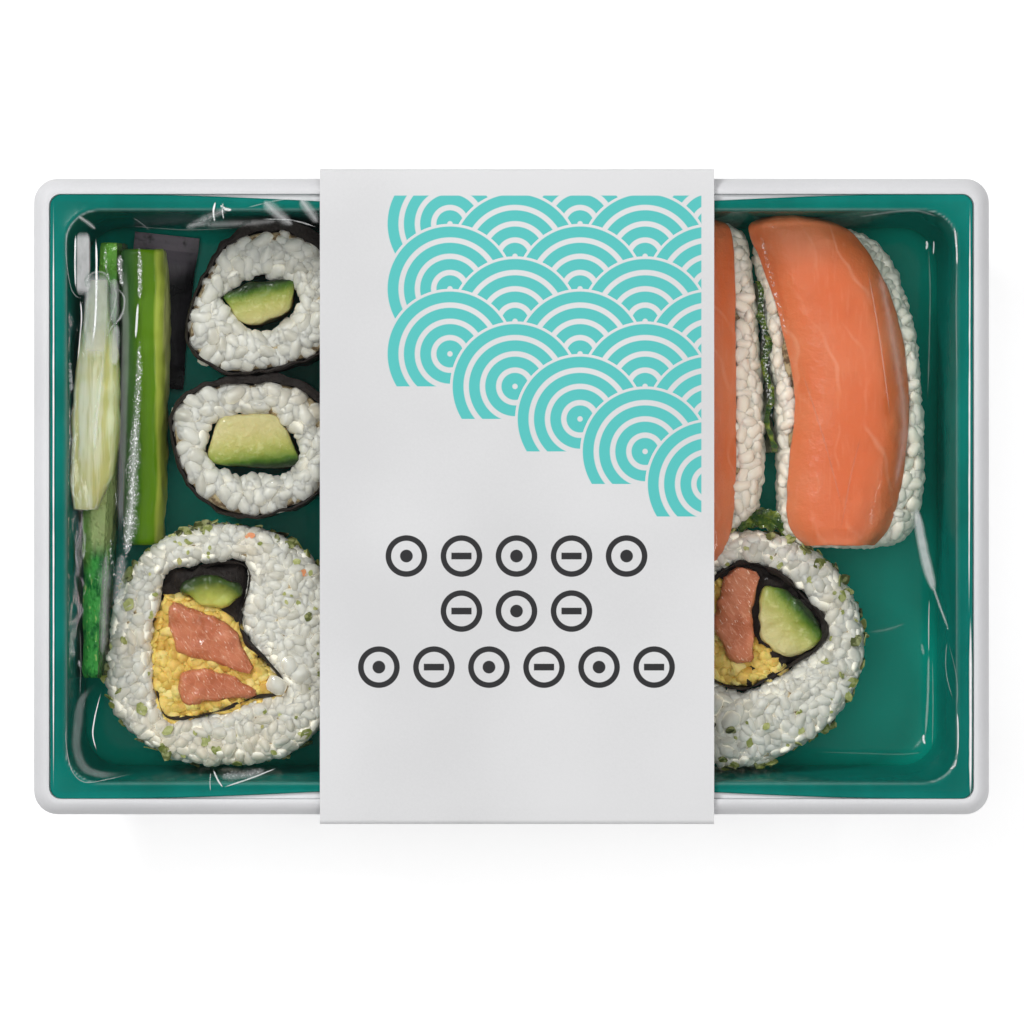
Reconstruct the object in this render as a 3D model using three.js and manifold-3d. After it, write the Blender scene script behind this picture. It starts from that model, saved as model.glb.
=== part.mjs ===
// Takeaway sushi tray: a light grey board tray with a teal liner, a clear film lid and a card sleeve.
// It holds two small cucumber rolls, two large rolls, two salmon nigiri, cucumber and a sauce sachet.
// Millimetres. +Z is up and the sleeve's underside is z = 0. +X runs along the tray and +Y towards its back.
import * as THREE from "three";
import { mergeVertices } from "three/addons/utils/BufferGeometryUtils.js";
import Module from "manifold-3d";

const wasm = await Module();
wasm.setup();

// ---------------------------------------------------------------- driving dimensions

const FIT = 0.3; // clearance between neighbouring pieces
const SEED = 20;

const RIM = { x: 95.7, y: 63.7, corner: 4.8 }; // half sizes of the whole tray
const LIP = { x: 92.9, y: 61.1, corner: 2.6, drop: 2.3, skirt: 1.3 }; // the rim's inner edge, slope and skirt
const FLANGE = { x: 92.3, y: 60.5, corner: 2.4, bow: 2.6 }; // the liner's flange, its long sides pulled in
const MOUTH = { x: 88.9, y: 57.0, corner: 6.5 }; // top of the liner's walls
const DEPTH = 30; // liner floor to flange
const DRAFT = 2.0; // how far a wall comes in from its top to its fillet
const FILLET = 1.4; // round between wall and floor
const FLOOR = { x: MOUTH.x - DRAFT - FILLET, y: MOUTH.y - DRAFT - FILLET, corner: 4.5 };
const BOARD = 0.9; // thickness of the grey board
const LINER = 0.6; // thickness of the teal liner
const FILM = { thickness: 0.3, sag: 2.5, grip: 0.6, reach: 3.2, ripple: 0.25 };
const FILM_RINGS = [-2.8, 0.5, 2, 5, 14, 30, 48]; // insets from the mouth
const SLEEVE = { left: -38.3, right: 40.5, y: 65.5, card: 0.5, fold: 0.9 };

const TRAY_Z = SLEEVE.card + FIT; // underside of the board tray
const FLOOR_Z = TRAY_Z + BOARD + FIT + LINER; // top of the liner's floor
const FLANGE_Z = FLOOR_Z + DEPTH;
const LIP_Z = FLANGE_Z + FIT;
const SLEEVE_Z = LIP_Z + 2 * FIT + SLEEVE.card; // top of the sleeve
const FOOD_Z = FLOOR_Z + FIT; // where the food stands

const GRAIN = { length: 5.4, width: 2.7, thickness: 2.3, sunk: 0.35 }; // one cooked grain of rice
const FLAKE = { length: 2.6, width: 1.7, thickness: 0.8 }; // one green herb flake
const NORI = 0.5; // thickness of the seaweed

// An outline is a list of radii, evenly spaced round a centre and starting along +X.
const SMALL_ROLLS = [
  {
    name: "back_small_roll",
    centre: [-49.9, 39.2],
    height: 24,
    outline: [16.6, 16.6, 16.6, 15.5, 14.2, 13.0, 14.4, 17.4, 16.4, 14.2, 14.4, 16.4],
    hole: [6.7, 7.2, 5.4, 5.0, 5.3, 6.6, 8.3, 6.5, 6.0, 6.0, 5.4, 6.2],
    cucumber: [[-7.2, 1.1], [-4.6, 3.0], [-1.2, 4.0], [5.3, 4.3], [4.9, -1.6], [-1.4, -4.8], [-4.6, -2.4]],
    grains: 14,
  },
  {
    name: "front_small_roll",
    centre: [-52.3, 9.1],
    height: 23,
    outline: [16.8, 17.4, 16.2, 14.4, 15.8, 17.8, 15.6, 14.4, 13.8, 13.4, 13.8, 16.2],
    hole: [12.6, 10.6, 7.6, 7.4, 8.4, 9.8, 8.8, 7.0, 5.2, 4.8, 5.6, 9.0],
    cucumber: [[-5.8, 6.2], [6.6, 6.4], [11.2, -0.6], [10.6, -2.6], [0, -3.4], [-7.4, -2.2]],
    grains: 14,
  },
];

const LEFT_ROLL = {
  name: "left_roll",
  centre: [-56.7, -29.2],
  height: 24,
  outline: [24.4, 24.4, 24.2, 24.4, 25.4, 25.4, 25.0, 27.8, 27.0, 25.6, 26.2, 25.4],
  holeCentre: [-4.6, -0.6],
  hole: [10.4, 9.4, 13.6, 15.6, 15.8, 11.4, 10.6, 11.2, 15.4, 14.0, 14.4, 17.6],
  grains: { top: 22, side: 10, topFlakes: 4, sideFlakes: 6 },
};

const RIGHT_ROLL = {
  name: "right_roll",
  centre: [46.1, -30.6],
  height: 21.4,
  outline: [25.0, 25.4, 25.2, 24.4, 24.2, 24.2, 24.2, 24.2, 24.2, 24.4, 23.1, 23.9],
  holeCentre: [0.6, 3.4],
  hole: [16.6, 14.2, 13.8, 14.0, 12.4, 12.4, 12.8, 12.4, 11.6, 11.6, 10.8, 12.4],
  grains: { top: 22, side: 10, topFlakes: 4, sideFlakes: 6 },
};

// Fillings of the large rolls, as outlines about the roll's centre.
const FILLINGS = {
  left_roll_avocado: [[-9.9, 10.4], [-5.8, 12.5], [1.6, 11.8], [1.0, 9.4], [-1.4, 8.0], [-4.9, 7.9]],
  left_roll_salmon_back: [
    [-12.6, 5.6], [-11.4, 7.5], [-6.7, 6.2], [-0.6, 3.9], [2.1, 0.7],
    [4.3, -4.0], [3.6, -6.3], [-1.7, -4.3], [-9.9, -2.3], [-11.6, 1.2],
  ],
  left_roll_salmon_front: [[-9.9, -6.8], [-7.6, -5.4], [-2.1, -6], [5.6, -10.4], [-2.6, -12], [-9.3, -12.4]],
  right_roll_salmon: [
    [-2.2, 15.4], [3.2, 15.6], [3.2, 11.0], [2.0, 6.4], [2.8, -1.8],
    [-1.4, -2.9], [-3.4, 0.2], [-5.2, 4.8], [-4.8, 8.4],
  ],
  right_roll_cucumber: [
    [4.0, 11.0], [5.4, 12.0], [9.4, 10.6], [13.6, 7.0], [15.6, 3.4],
    [14.8, 1.4], [9.2, -0.9], [4.6, 2.4], [4.0, 6.0],
  ],
};

// The egg and mayonnaise fills what the pieces leave of these outlines.
const EGG_FILL = {
  left_roll: [[-13.4, 2.4], [-11, 8.6], [-0.4, 5.6], [10.2, -7.6], [7.4, -11.6], [-4, -13.6], [-11.6, -14.4]],
  right_roll: [[-10.4, 9], [-3.6, 13.4], [0.4, 4], [7.8, -3], [4.6, -6.4], [-4.6, -6.8], [-10.6, -1]],
};

// Nigiri lie along Y. The salmon and the rice pad each have a left and a right edge, from back to front.
const NIGIRI = [
  {
    name: "right_nigiri",
    slab: {
      left: [[50, 56.3], [47, 54.4], [50.6, 46.5], [54, 35.5], [57, 20], [55.7, 6], [55.6, -5], [58.8, -9.8]],
      right: [[59.4, 56.3], [67, 54.2], [73.4, 46.5], [78, 35], [80, 20], [79, 6], [76.6, -5], [73, -9.8]],
      thickness: 3.8,
      fall: { sides: 5.0, back: 4.5, front: 0.6 },
    },
    pad: {
      left: [[54, 52.5], [50.2, 49.8], [51.4, 43], [53.2, 30], [54.6, 14], [55, 0], [56, -6.6], [60, -8.6]],
      right: [[68.5, 52.5], [73.8, 49.8], [77.8, 43], [81, 30], [82, 14], [82, 0], [79.6, -6.6], [73, -8.6]],
    },
  },
  {
    name: "left_nigiri",
    slab: {
      left: [[28.5, 56], [24, 54], [22.4, 47], [21.6, 33], [21.2, 15], [21.6, 0], [23.4, -9], [29.5, -14.2]],
      right: [[40, 56], [43.8, 54.2], [44.8, 47], [45.1, 33], [45.2, 15], [45, 0], [43.6, -9], [40.3, -14.2]],
      thickness: 3.6,
      fall: { sides: 4.6, back: 4.0, front: 0.4 },
    },
    pad: {
      left: [[27, 54], [21.5, 51.6], [19.6, 41], [18.8, 28], [18.6, 16], [18.8, 4], [20.5, -3], [27, -6]],
      right: [[42, 54], [46.4, 51.6], [48, 41], [49.4, 28], [50.2, 16], [50, 4], [48, -3], [42, -6]],
    },
  },
];
const NIGIRI_TOP = 29.2;
const NIGIRI_GRAINS = { along: 7, angles: [-0.05, 0.6] }; // per side, along the piece and round its section

// The leaf divider stands in the gap between the nigiri: a wavy line seen from above, from back to front.
const LEAF = {
  line: [[49.6, 43.4], [50.3, 38], [51.4, 33], [51.2, 28], [52.1, 22], [51.9, 16], [52.7, 9]],
  thickness: 0.8,
  height: 17,
  tooth: 1.6, // how much its top edge rises and falls
};

// Cucumber pieces: z has the underside at the back and at the front; a section in X and Z runs between them.
const SKIN_BATON = {
  name: "cucumber_skin_baton",
  back: [-73.9, 49.7],
  front: [-74.1, -9.7],
  z: [9.9, FOOD_Z],
  section: [[-2.8, 0], [2.6, 0], [4.8, 9.4], [2.3, 18.2], [-0.6, 18.9], [-3.0, 18.0], [-4.2, 14.4]],
};
const FLESH_BATON = {
  name: "cucumber_flesh_baton",
  back: [-83.2, 42.2],
  front: [-83.6, -2.2],
  z: [23.2, 23.2],
  section: [[-3.2, 0], [3.4, 0], [4.6, 3.0], [3.8, 5.6], [0, 6.4], [-3.9, 5.8], [-4.6, 3.2]],
};
const LONG_BATON = {
  name: "cucumber_long_baton",
  back: [-80.8, 51.2],
  front: [-83.2, -36.6],
  z: [FOOD_Z, FOOD_Z],
  section: [[-2.2, 0], [2.4, 0], [2.2, 18.4], [0.2, 19.6], [-2.2, 18.4]],
};
const SACHET = { centre: [-71.1, 37.6], length: 31, width: 11.4, thickness: 3.9, crimp: 3.2, turn: -0.11 };

const COLOURS = {
  board: 0xdedede,
  liner: 0x0b7267,
  film: 0xe8f2f0,
  card: 0xe3e3e3,
  rice: 0xd8d8cf,
  nori: 0x1d1b1c,
  cucumber: 0x9fb04a,
  skin: 0x3f7a12,
  flesh: 0xd9d3ab,
  salmon: 0xe0794f,
  chunk: 0xc47a5e,
  egg: 0xc9a548,
  avocado: 0x93a23e,
  sachet: 0x2c2a2d,
};

// ---------------------------------------------------------------- helpers

function random(seed) {
  // Mulberry32: the same draws on every run.
  let state = seed;
  return () => {
    state = (state + 0x6d2b79f5) | 0;
    let t = Math.imul(state ^ (state >>> 15), 1 | state);
    t = (t + Math.imul(t ^ (t >>> 7), 61 | t)) ^ t;
    return ((t ^ (t >>> 14)) >>> 0) / 4294967296;
  };
}

// A closed mesh becomes a manifold-3d solid, ready to be joined or cut.
function solid(geometry) {
  const bare = new THREE.BufferGeometry();
  bare.setAttribute("position", geometry.getAttribute("position"));
  bare.setIndex(geometry.getIndex());
  const merged = mergeVertices(bare, 1e-4);
  const vertProperties = new Float32Array(merged.attributes.position.array);
  const triVerts = new Uint32Array(merged.index.array);
  return new wasm.Manifold(new wasm.Mesh({ numProp: 3, vertProperties, triVerts }));
}

function geometryOf(body) {
  const mesh = body.getMesh();
  const geometry = new THREE.BufferGeometry();
  geometry.setAttribute("position", new THREE.BufferAttribute(new Float32Array(mesh.vertProperties), 3));
  geometry.setIndex(new THREE.BufferAttribute(new Uint32Array(mesh.triVerts), 1));
  geometry.computeVertexNormals();
  return geometry;
}

// Joins rings of equally many points, first to last, and closes both ends with flat caps.
function loft(rings) {
  const count = rings[0].length;
  const positions = rings.flat().flatMap((p) => [p.x, p.y, p.z]);
  const index = [];
  for (let r = 0; r + 1 < rings.length; r++) {
    for (let i = 0; i < count; i++) {
      const a = r * count + i;
      const b = r * count + ((i + 1) % count);
      index.push(a, b, b + count, a, b + count, a + count);
    }
  }
  const cap = (ring, start, faceBack) => {
    const { u, v } = capPlane(ring);
    const flat = ring.map((p) => new THREE.Vector2(p.dot(u), p.dot(v)));
    for (const [a, b, c] of THREE.ShapeUtils.triangulateShape(flat, [])) {
      index.push(start + a, start + (faceBack ? c : b), start + (faceBack ? b : c));
    }
  };
  cap(rings[0], 0, true);
  cap(rings[rings.length - 1], (rings.length - 1) * count, false);
  const geometry = new THREE.BufferGeometry();
  geometry.setAttribute("position", new THREE.Float32BufferAttribute(positions, 3));
  geometry.setIndex(index);
  geometry.computeVertexNormals();
  return geometry;
}

// Two directions in the plane of a ring, in which the ring runs anticlockwise.
function capPlane(ring) {
  const centre = ring.reduce((sum, p) => sum.add(p), new THREE.Vector3()).divideScalar(ring.length);
  const normal = new THREE.Vector3();
  for (let i = 0; i < ring.length; i++) {
    const a = ring[i].clone().sub(centre);
    const b = ring[(i + 1) % ring.length].clone().sub(centre);
    normal.add(a.cross(b));
  }
  normal.normalize();
  const side = Math.abs(normal.z) < 0.9 ? new THREE.Vector3(0, 0, 1) : new THREE.Vector3(1, 0, 0);
  const u = new THREE.Vector3().crossVectors(side, normal).normalize();
  const v = new THREE.Vector3().crossVectors(normal, u);
  return { u, v };
}

// A rounded rectangle at height z, anticlockwise from above. Bow pulls the long sides in at their middles.
function roundedRing({ x, y, corner, bow = 0 }, z, cornerSteps = 3, sideSteps = 4) {
  const ring = [];
  const corners = [[1, -1], [1, 1], [-1, 1], [-1, -1]];
  corners.forEach(([sx, sy], quarter) => {
    const cx = sx * (x - corner);
    const cy = sy * (y - corner);
    for (let i = 0; i <= cornerSteps; i++) {
      const angle = ((quarter - 1 + i / cornerSteps) * Math.PI) / 2;
      ring.push(new THREE.Vector3(cx + corner * Math.cos(angle), cy + corner * Math.sin(angle), z));
    }
    if (quarter === 1 || quarter === 3) {
      for (let i = 1; i < sideSteps; i++) {
        const along = 1 - (2 * i) / sideSteps;
        const inward = bow * (1 - along ** 2) ** 3;
        ring.push(new THREE.Vector3(sx * along * (x - corner), sy * (y - inward), z));
      }
    }
  });
  return ring;
}

// A smooth radius at any angle from evenly spaced radii.
function radiusAt(radii, angle) {
  const n = radii.length;
  const at = ((angle / (2 * Math.PI)) * n + n) % n;
  const i = Math.floor(at);
  const [a, b, c, d] = [-1, 0, 1, 2].map((k) => radii[(i + k + n) % n]);
  const t = at - i;
  const square = (2 * a - 5 * b + 4 * c - d) * t ** 2;
  const cube = (3 * b - a - 3 * c + d) * t ** 3;
  return 0.5 * (2 * b + (c - a) * t + square + cube);
}

function polarRing(radii, [cx, cy], z, grow = 0, steps = 24) {
  return Array.from({ length: steps }, (_, i) => {
    const angle = (2 * Math.PI * i) / steps;
    const r = radiusAt(radii, angle) + grow;
    return new THREE.Vector3(cx + r * Math.cos(angle), cy + r * Math.sin(angle), z);
  });
}

function polarPrism(radii, centre, z0, z1, grow = 0) {
  return solid(loft([polarRing(radii, centre, z0, grow), polarRing(radii, centre, z1, grow)]));
}

// A smooth closed outline through a few [x, y] points, drawn as a prism from z0 to z1.
function prism(points, [cx, cy], z0, z1, steps = 20) {
  const corners = points.map(([x, y]) => new THREE.Vector3(cx + x, cy + y, 0));
  const outline = new THREE.CatmullRomCurve3(corners, true).getSpacedPoints(steps).slice(0, -1);
  const shape = new THREE.Shape(outline.map((p) => new THREE.Vector2(p.x, p.y)));
  return solid(new THREE.ExtrudeGeometry(shape, { depth: z1 - z0, bevelEnabled: false }).translate(0, 0, z0));
}

// The same outline, grown outwards by a distance.
function grown(points, distance) {
  const n = points.length;
  const turn = THREE.ShapeUtils.area(points.map(([x, y]) => new THREE.Vector2(x, y))) > 0 ? 1 : -1;
  return points.map(([x, y], i) => {
    const [ax, ay] = points[(i + n - 1) % n];
    const [bx, by] = points[(i + 1) % n];
    const length = Math.hypot(bx - ax, by - ay);
    return [x + (turn * distance * (by - ay)) / length, y - (turn * distance * (bx - ax)) / length];
  });
}

function grainAt(position, normal, draw, size = GRAIN) {
  const along = new THREE.Vector3(draw() - 0.5, draw() - 0.5, draw() - 0.5).cross(normal).normalize();
  const across = new THREE.Vector3().crossVectors(normal, along);
  const scale = 0.9 + 0.25 * draw();
  const matrix = new THREE.Matrix4().makeBasis(
    along.multiplyScalar((scale * size.length) / 2),
    across.multiplyScalar((scale * size.width) / 2),
    normal.clone().multiplyScalar((scale * size.thickness) / 2),
  );
  matrix.setPosition(position);
  return solid(new THREE.IcosahedronGeometry(1, 0).applyMatrix4(matrix));
}

function join(bodies) {
  return wasm.Manifold.union(bodies);
}

function largest(body) {
  return body.decompose().sort((a, b) => b.volume() - a.volume())[0];
}

function node(name, geometry, color, roughness = 0.6) {
  const mesh = new THREE.Mesh(geometry, new THREE.MeshStandardMaterial({ color, roughness, metalness: 0 }));
  mesh.name = name;
  return mesh;
}

// ---------------------------------------------------------------- pack

// The walls run from the floor through a fillet to the mouth; out moves them outwards and down.
function wallRings(out) {
  const side = (size, grow) => ({ x: size.x + grow, y: size.y + grow, corner: size.corner + grow });
  const knee = FILLET * Math.SQRT1_2;
  const foot = { x: MOUTH.x - DRAFT, y: MOUTH.y - DRAFT, corner: MOUTH.corner };
  return [
    roundedRing(FLOOR, FLOOR_Z - out),
    roundedRing(side(FLOOR, knee + 0.7 * out), FLOOR_Z + FILLET - knee - 0.7 * out),
    roundedRing(side(foot, out), FLOOR_Z + FILLET),
    roundedRing(side(MOUTH, out), FLANGE_Z - Math.max(out, 0.6)),
  ];
}

// Food is trimmed to the space inside the liner, clear of its walls and fillets.
const inTray = solid(loft(wallRings(-FIT)));

function food(name, body, colour, roughness) {
  return node(name, geometryOf(largest(body.intersect(inTray))), colour, roughness);
}

function linerTray() {
  const edge = { x: MOUTH.x + 0.6, y: MOUTH.y + 0.6, corner: MOUTH.corner + 0.3 };
  const neck = { ...MOUTH, x: MOUTH.x + LINER, y: MOUTH.y + LINER };
  const under = FLANGE_Z - LINER;
  const inner = [...wallRings(0), roundedRing(edge, FLANGE_Z), roundedRing(FLANGE, FLANGE_Z)];
  const outer = [...wallRings(LINER).slice(0, 3), roundedRing(neck, under), roundedRing(FLANGE, under)];
  return loft([...outer, ...inner.reverse()]);
}

function boardTray() {
  const gap = LINER + FIT;
  const ledge = FLANGE_Z - gap;
  const inset = (size, by) => ({ x: size.x - by, y: size.y - by, corner: size.corner });
  const inner = [
    ...wallRings(gap).slice(0, 3),
    roundedRing({ x: MOUTH.x + gap, y: MOUTH.y + gap, corner: MOUTH.corner }, ledge),
    roundedRing(LIP, ledge),
    roundedRing(LIP, LIP_Z),
    roundedRing({ x: LIP.x + 0.6, y: LIP.y + 0.6, corner: 3 }, LIP_Z),
    roundedRing({ ...RIM, x: RIM.x - 0.5, y: RIM.y - 0.5 }, LIP_Z - 0.9),
    roundedRing(RIM, LIP_Z - LIP.drop),
    roundedRing(RIM, LIP_Z - LIP.drop - LIP.skirt),
  ];
  const outer = [
    ...wallRings(gap + BOARD).slice(0, 3),
    roundedRing({ x: MOUTH.x + gap + BOARD, y: MOUTH.y + gap + BOARD, corner: MOUTH.corner }, ledge - BOARD),
    roundedRing({ ...inset(LIP, 0.3), corner: 3 }, ledge - BOARD),
    roundedRing(inset(RIM, BOARD), LIP_Z - LIP.drop - LIP.skirt),
  ];
  return loft([...outer, ...inner.reverse()]);
}

// One ring of the film: level on the flange, then falling to a taut, faintly rippled sheet over the food.
function filmRing(inset, lift) {
  const size = { x: MOUTH.x - inset, y: MOUTH.y - inset, corner: inset < 0 ? 2.2 : MOUTH.corner };
  const fall = 1 - Math.exp(-((Math.max(0, inset - FILM.grip) / FILM.reach) ** 2));
  return roundedRing(size, 0, 3, 6).map((p) => {
    const ripple = FILM.ripple * Math.sin(p.x / 9 + 1) * Math.cos(p.y / 11 - 0.5);
    return p.setZ(FLANGE_Z + FIT + lift - fall * (FILM.sag - ripple));
  });
}

function filmSheet() {
  const under = FILM_RINGS.map((inset) => filmRing(inset, 0));
  const over = FILM_RINGS.map((inset) => filmRing(inset, FILM.thickness));
  return loft([...under.reverse(), ...over]);
}

function cardSleeve() {
  const { left, right, y, card, fold } = SLEEVE;
  const outline = (shape, inset, corner) => {
    const [y0, y1, z0, z1] = [inset - y, y - inset, inset, SLEEVE_Z - inset];
    shape.moveTo(y0 + corner, z0).lineTo(y1 - corner, z0).quadraticCurveTo(y1, z0, y1, z0 + corner);
    shape.lineTo(y1, z1 - corner).quadraticCurveTo(y1, z1, y1 - corner, z1);
    shape.lineTo(y0 + corner, z1).quadraticCurveTo(y0, z1, y0, z1 - corner);
    return shape.lineTo(y0, z0 + corner).quadraticCurveTo(y0, z0, y0 + corner, z0);
  };
  const shape = outline(new THREE.Shape(), 0, fold);
  shape.holes.push(outline(new THREE.Path(), card, fold - card));
  const band = { depth: right - left, bevelEnabled: false, curveSegments: 3 };
  // The section's own X and Y become the tray's Y and Z, and its depth runs along X.
  const turn = new THREE.Matrix4().makeBasis(
    new THREE.Vector3(0, 1, 0),
    new THREE.Vector3(0, 0, 1),
    new THREE.Vector3(1, 0, 0),
  );
  return new THREE.ExtrudeGeometry(shape, band).applyMatrix4(turn).translate(left, 0, 0);
}

// ---------------------------------------------------------------- rolls

// A roll's body: its outline with a rounded foot and a crisp cut face on top.
function rollBody({ outline, centre, height }, grow = 0, edge = 0.5) {
  const top = FOOD_Z + height;
  const levels = [[FOOD_Z, -2.8], [FOOD_Z + 2.8, 0], [top - 0.6, 0], [top, -edge]];
  return solid(loft(levels.map(([z, inset]) => polarRing(outline, centre, z, inset + grow))));
}

// Grains spread by golden-angle steps over the ring between hole and outline.
function topGrains({ outline, centre, height }, holeRadius, count, draw, size = GRAIN) {
  const golden = Math.PI * (3 - Math.sqrt(5));
  const z = FOOD_Z + height + size.thickness * (0.5 - GRAIN.sunk) - 0.35;
  return Array.from({ length: count }, (_, i) => {
    const angle = i * golden;
    const inner = holeRadius(angle);
    const outer = radiusAt(outline, angle) - 1.6;
    const r = inner + (outer - inner) * Math.sqrt((i % 7) / 7 + draw() / 7);
    const at = new THREE.Vector3(centre[0] + r * Math.cos(angle), centre[1] + r * Math.sin(angle), z);
    const tilt = new THREE.Vector3(0.3 * (draw() - 0.5), 0.3 * (draw() - 0.5), 1).normalize();
    return grainAt(at, tilt, draw, size);
  });
}

// Grains round the side, in one row at mid height.
function sideGrains({ outline, centre, height }, count, draw, size = GRAIN) {
  return Array.from({ length: count }, (_, i) => {
    const angle = (2 * Math.PI * (i + 0.3 * draw())) / count;
    const out = new THREE.Vector3(Math.cos(angle), Math.sin(angle), 0);
    const at = out.clone().multiplyScalar(radiusAt(outline, angle) - 0.75);
    at.add(new THREE.Vector3(centre[0], centre[1], FOOD_Z + height * (0.45 + 0.3 * draw())));
    return grainAt(at, out, draw, size);
  });
}

function smallRoll(roll, seed) {
  const { name, centre, height, outline, hole, cucumber, grains } = roll;
  const low = FOOD_Z - 1;
  const high = FOOD_Z + height + 4;
  const inside = { ...roll, outline: outline.map((r) => r - NORI - FIT) };
  const loose = topGrains(inside, (angle) => radiusAt(hole, angle) + 0.8, grains, random(seed));
  const rice = join([rollBody(inside), ...loose])
    .intersect(polarPrism(inside.outline, centre, low, high))
    .subtract(polarPrism(hole, centre, low, high))
    .subtract(prism(grown(cucumber, FIT), centre, low, high, 16));
  const seaweed = rollBody(roll, 0, 0).subtract(rollBody(roll, -NORI, 0));
  const stick = prism(cucumber, centre, FOOD_Z, FOOD_Z + height - 0.6, 16);
  return [
    food(`${name}_nori`, seaweed, COLOURS.nori, 0.5),
    food(`${name}_rice`, rice, COLOURS.rice),
    food(`${name}_cucumber`, stick, COLOURS.cucumber, 0.4),
  ];
}

// A large roll's rice ring, cut clear of the bodies that press into it.
function largeRollRice(roll, draw, pressedIn) {
  const { centre, height, holeCentre, hole, grains } = roll;
  const [hx, hy] = holeCentre;
  const holeReach = (angle) => 1.4 + radiusAt(hole, angle) + Math.cos(angle) * hx + Math.sin(angle) * hy;
  const loose = [
    ...topGrains(roll, holeReach, grains.top, draw),
    ...topGrains(roll, holeReach, grains.topFlakes, draw, FLAKE),
    ...sideGrains(roll, grains.side, draw),
    ...sideGrains(roll, grains.sideFlakes, draw, FLAKE),
  ];
  const core = polarPrism(hole, [centre[0] + hx, centre[1] + hy], FOOD_Z - 1, FOOD_Z + height + 4);
  const ring = join([rollBody(roll, -0.4), ...loose]);
  return [core, ...pressedIn].reduce((rice, cut) => rice.subtract(cut), ring);
}

function largeRoll(roll, seed, pressedIn) {
  const { name, centre, height, holeCentre, hole } = roll;
  const core = [centre[0] + holeCentre[0], centre[1] + holeCentre[1]];
  const [low, bottom, top, high] = [FOOD_Z - 1, FOOD_Z, FOOD_Z + height - 0.4, FOOD_Z + height + 4];
  const inner = polarPrism(hole, core, low, high, -FIT - NORI);
  const seaweed = polarPrism(hole, core, bottom, top, -FIT).subtract(inner);
  const room = polarPrism(hole, core, low, high, -2 * FIT - NORI);
  const pieces = Object.entries(FILLINGS).filter(([piece]) => piece.startsWith(name));
  const egg = pieces.reduce(
    (left, [, points]) => left.subtract(prism(grown(points, FIT), centre, low, high)),
    prism(EGG_FILL[name], centre, bottom, top - 1).intersect(room),
  );
  return [
    food(`${name}_rice`, largeRollRice(roll, random(seed), pressedIn), COLOURS.rice),
    food(`${name}_nori`, seaweed, COLOURS.nori, 0.5),
    food(`${name}_egg`, egg, COLOURS.egg),
    ...pieces.map(([piece, points]) => {
      const colour = piece.includes("salmon") ? COLOURS.chunk : COLOURS.avocado;
      return food(piece, prism(points, centre, bottom, top).intersect(room), colour, 0.4);
    }),
  ];
}

// ---------------------------------------------------------------- nigiri

// How full a piece is at a share of its length: whole in the middle, rounding off at both ends.
function endTaper(share, power) {
  return Math.max(0, 1 - Math.abs(2 * share - 1) ** power) ** 0.5;
}

// The point at a share of a smooth open line.
function pointAlong(points, share) {
  return new THREE.CatmullRomCurve3(points.map(([x, y]) => new THREE.Vector3(x, y, 0))).getPoint(share);
}

// A point between the left and the right edge, at a share of the length; across runs from -1 to 1.
function between({ left, right }, share, across, widen = 0) {
  const [from, to] = [pointAlong(left, share), pointAlong(right, share)];
  const outwards = to.clone().sub(from).normalize();
  return from.lerp(to, (across + 1) / 2).addScaledVector(outwards, widen * across);
}

// One cut across the salmon: over the top one way, then back along the underside.
function slabRing({ slab }, share, { lift = 0, sink = 0, widen = 0, shift = 0 }) {
  const { sides, back, front } = slab.fall;
  const bend = back * Math.max(0, 1 - share / 0.28) ** 2 + front * Math.max(0, share / 0.3 - 2.33) ** 2;
  const crown = NIGIRI_TOP - bend;
  const point = (across, drop) => {
    const at = between(slab, share, across, widen);
    return new THREE.Vector3(at.x, at.y + shift, crown - sides * Math.abs(across) ** 2.6 - drop);
  };
  const thick = slab.thickness * (0.55 + 0.45 * endTaper(share, 8));
  const depth = (across) => thick * (1 - 0.55 * Math.abs(across) ** 3);
  const across = Array.from({ length: 9 }, (_, k) => 1 - k / 4);
  return [...across.map((a) => point(a, -lift)), ...across.reverse().map((a) => point(a, depth(a) + sink))];
}

function slabBody(piece, spread = {}, reach = 0) {
  const rings = Array.from({ length: 13 }, (_, i) => slabRing(piece, i / 12, spread));
  if (reach) {
    rings.unshift(slabRing(piece, 0, { ...spread, shift: reach }));
    rings.push(slabRing(piece, 1, { ...spread, shift: -reach }));
  }
  return solid(loft(rings));
}

// A point on the rice pad's surface, by its share of the length and the angle round its section.
function padPoint({ slab, pad }, share, angle) {
  const boxy = (value) => Math.sign(value) * Math.abs(value) ** 0.75;
  const full = NIGIRI_TOP - slab.thickness * 0.8 - FOOD_Z;
  const high = full * (0.62 + 0.38 * endTaper(share, 4));
  const z = FOOD_Z + high * Math.max(0, 0.46 + 0.54 * boxy(Math.sin(angle)));
  return between(pad, share, boxy(Math.cos(angle))).setZ(z);
}

function padBody(piece) {
  const rings = Array.from({ length: 9 }, (_, i) => {
    const share = 0.5 - 0.5 * Math.cos((Math.PI * i) / 8);
    return Array.from({ length: 14 }, (_, k) => padPoint(piece, share, (2 * Math.PI * k) / 14));
  });
  return solid(loft(rings));
}

function padGrains(piece, draw) {
  const grains = [];
  for (const side of [1, -1]) {
    const normal = new THREE.Vector3(side, 0, 0.35).normalize();
    for (const angle of NIGIRI_GRAINS.angles) {
      for (let i = 0; i < NIGIRI_GRAINS.along; i++) {
        const share = 0.04 + (0.92 * (i + 0.7 * draw())) / NIGIRI_GRAINS.along;
        const at = padPoint(piece, share, side > 0 ? angle : Math.PI - angle);
        grains.push(grainAt(at.addScaledVector(normal, -0.55), normal, draw));
      }
    }
  }
  return grains;
}

// The space over a nigiri's salmon, grown by the fit clearance.
function overSlab(piece) {
  return slabBody(piece, { lift: 8, sink: FIT, widen: FIT }, FIT);
}

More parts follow.
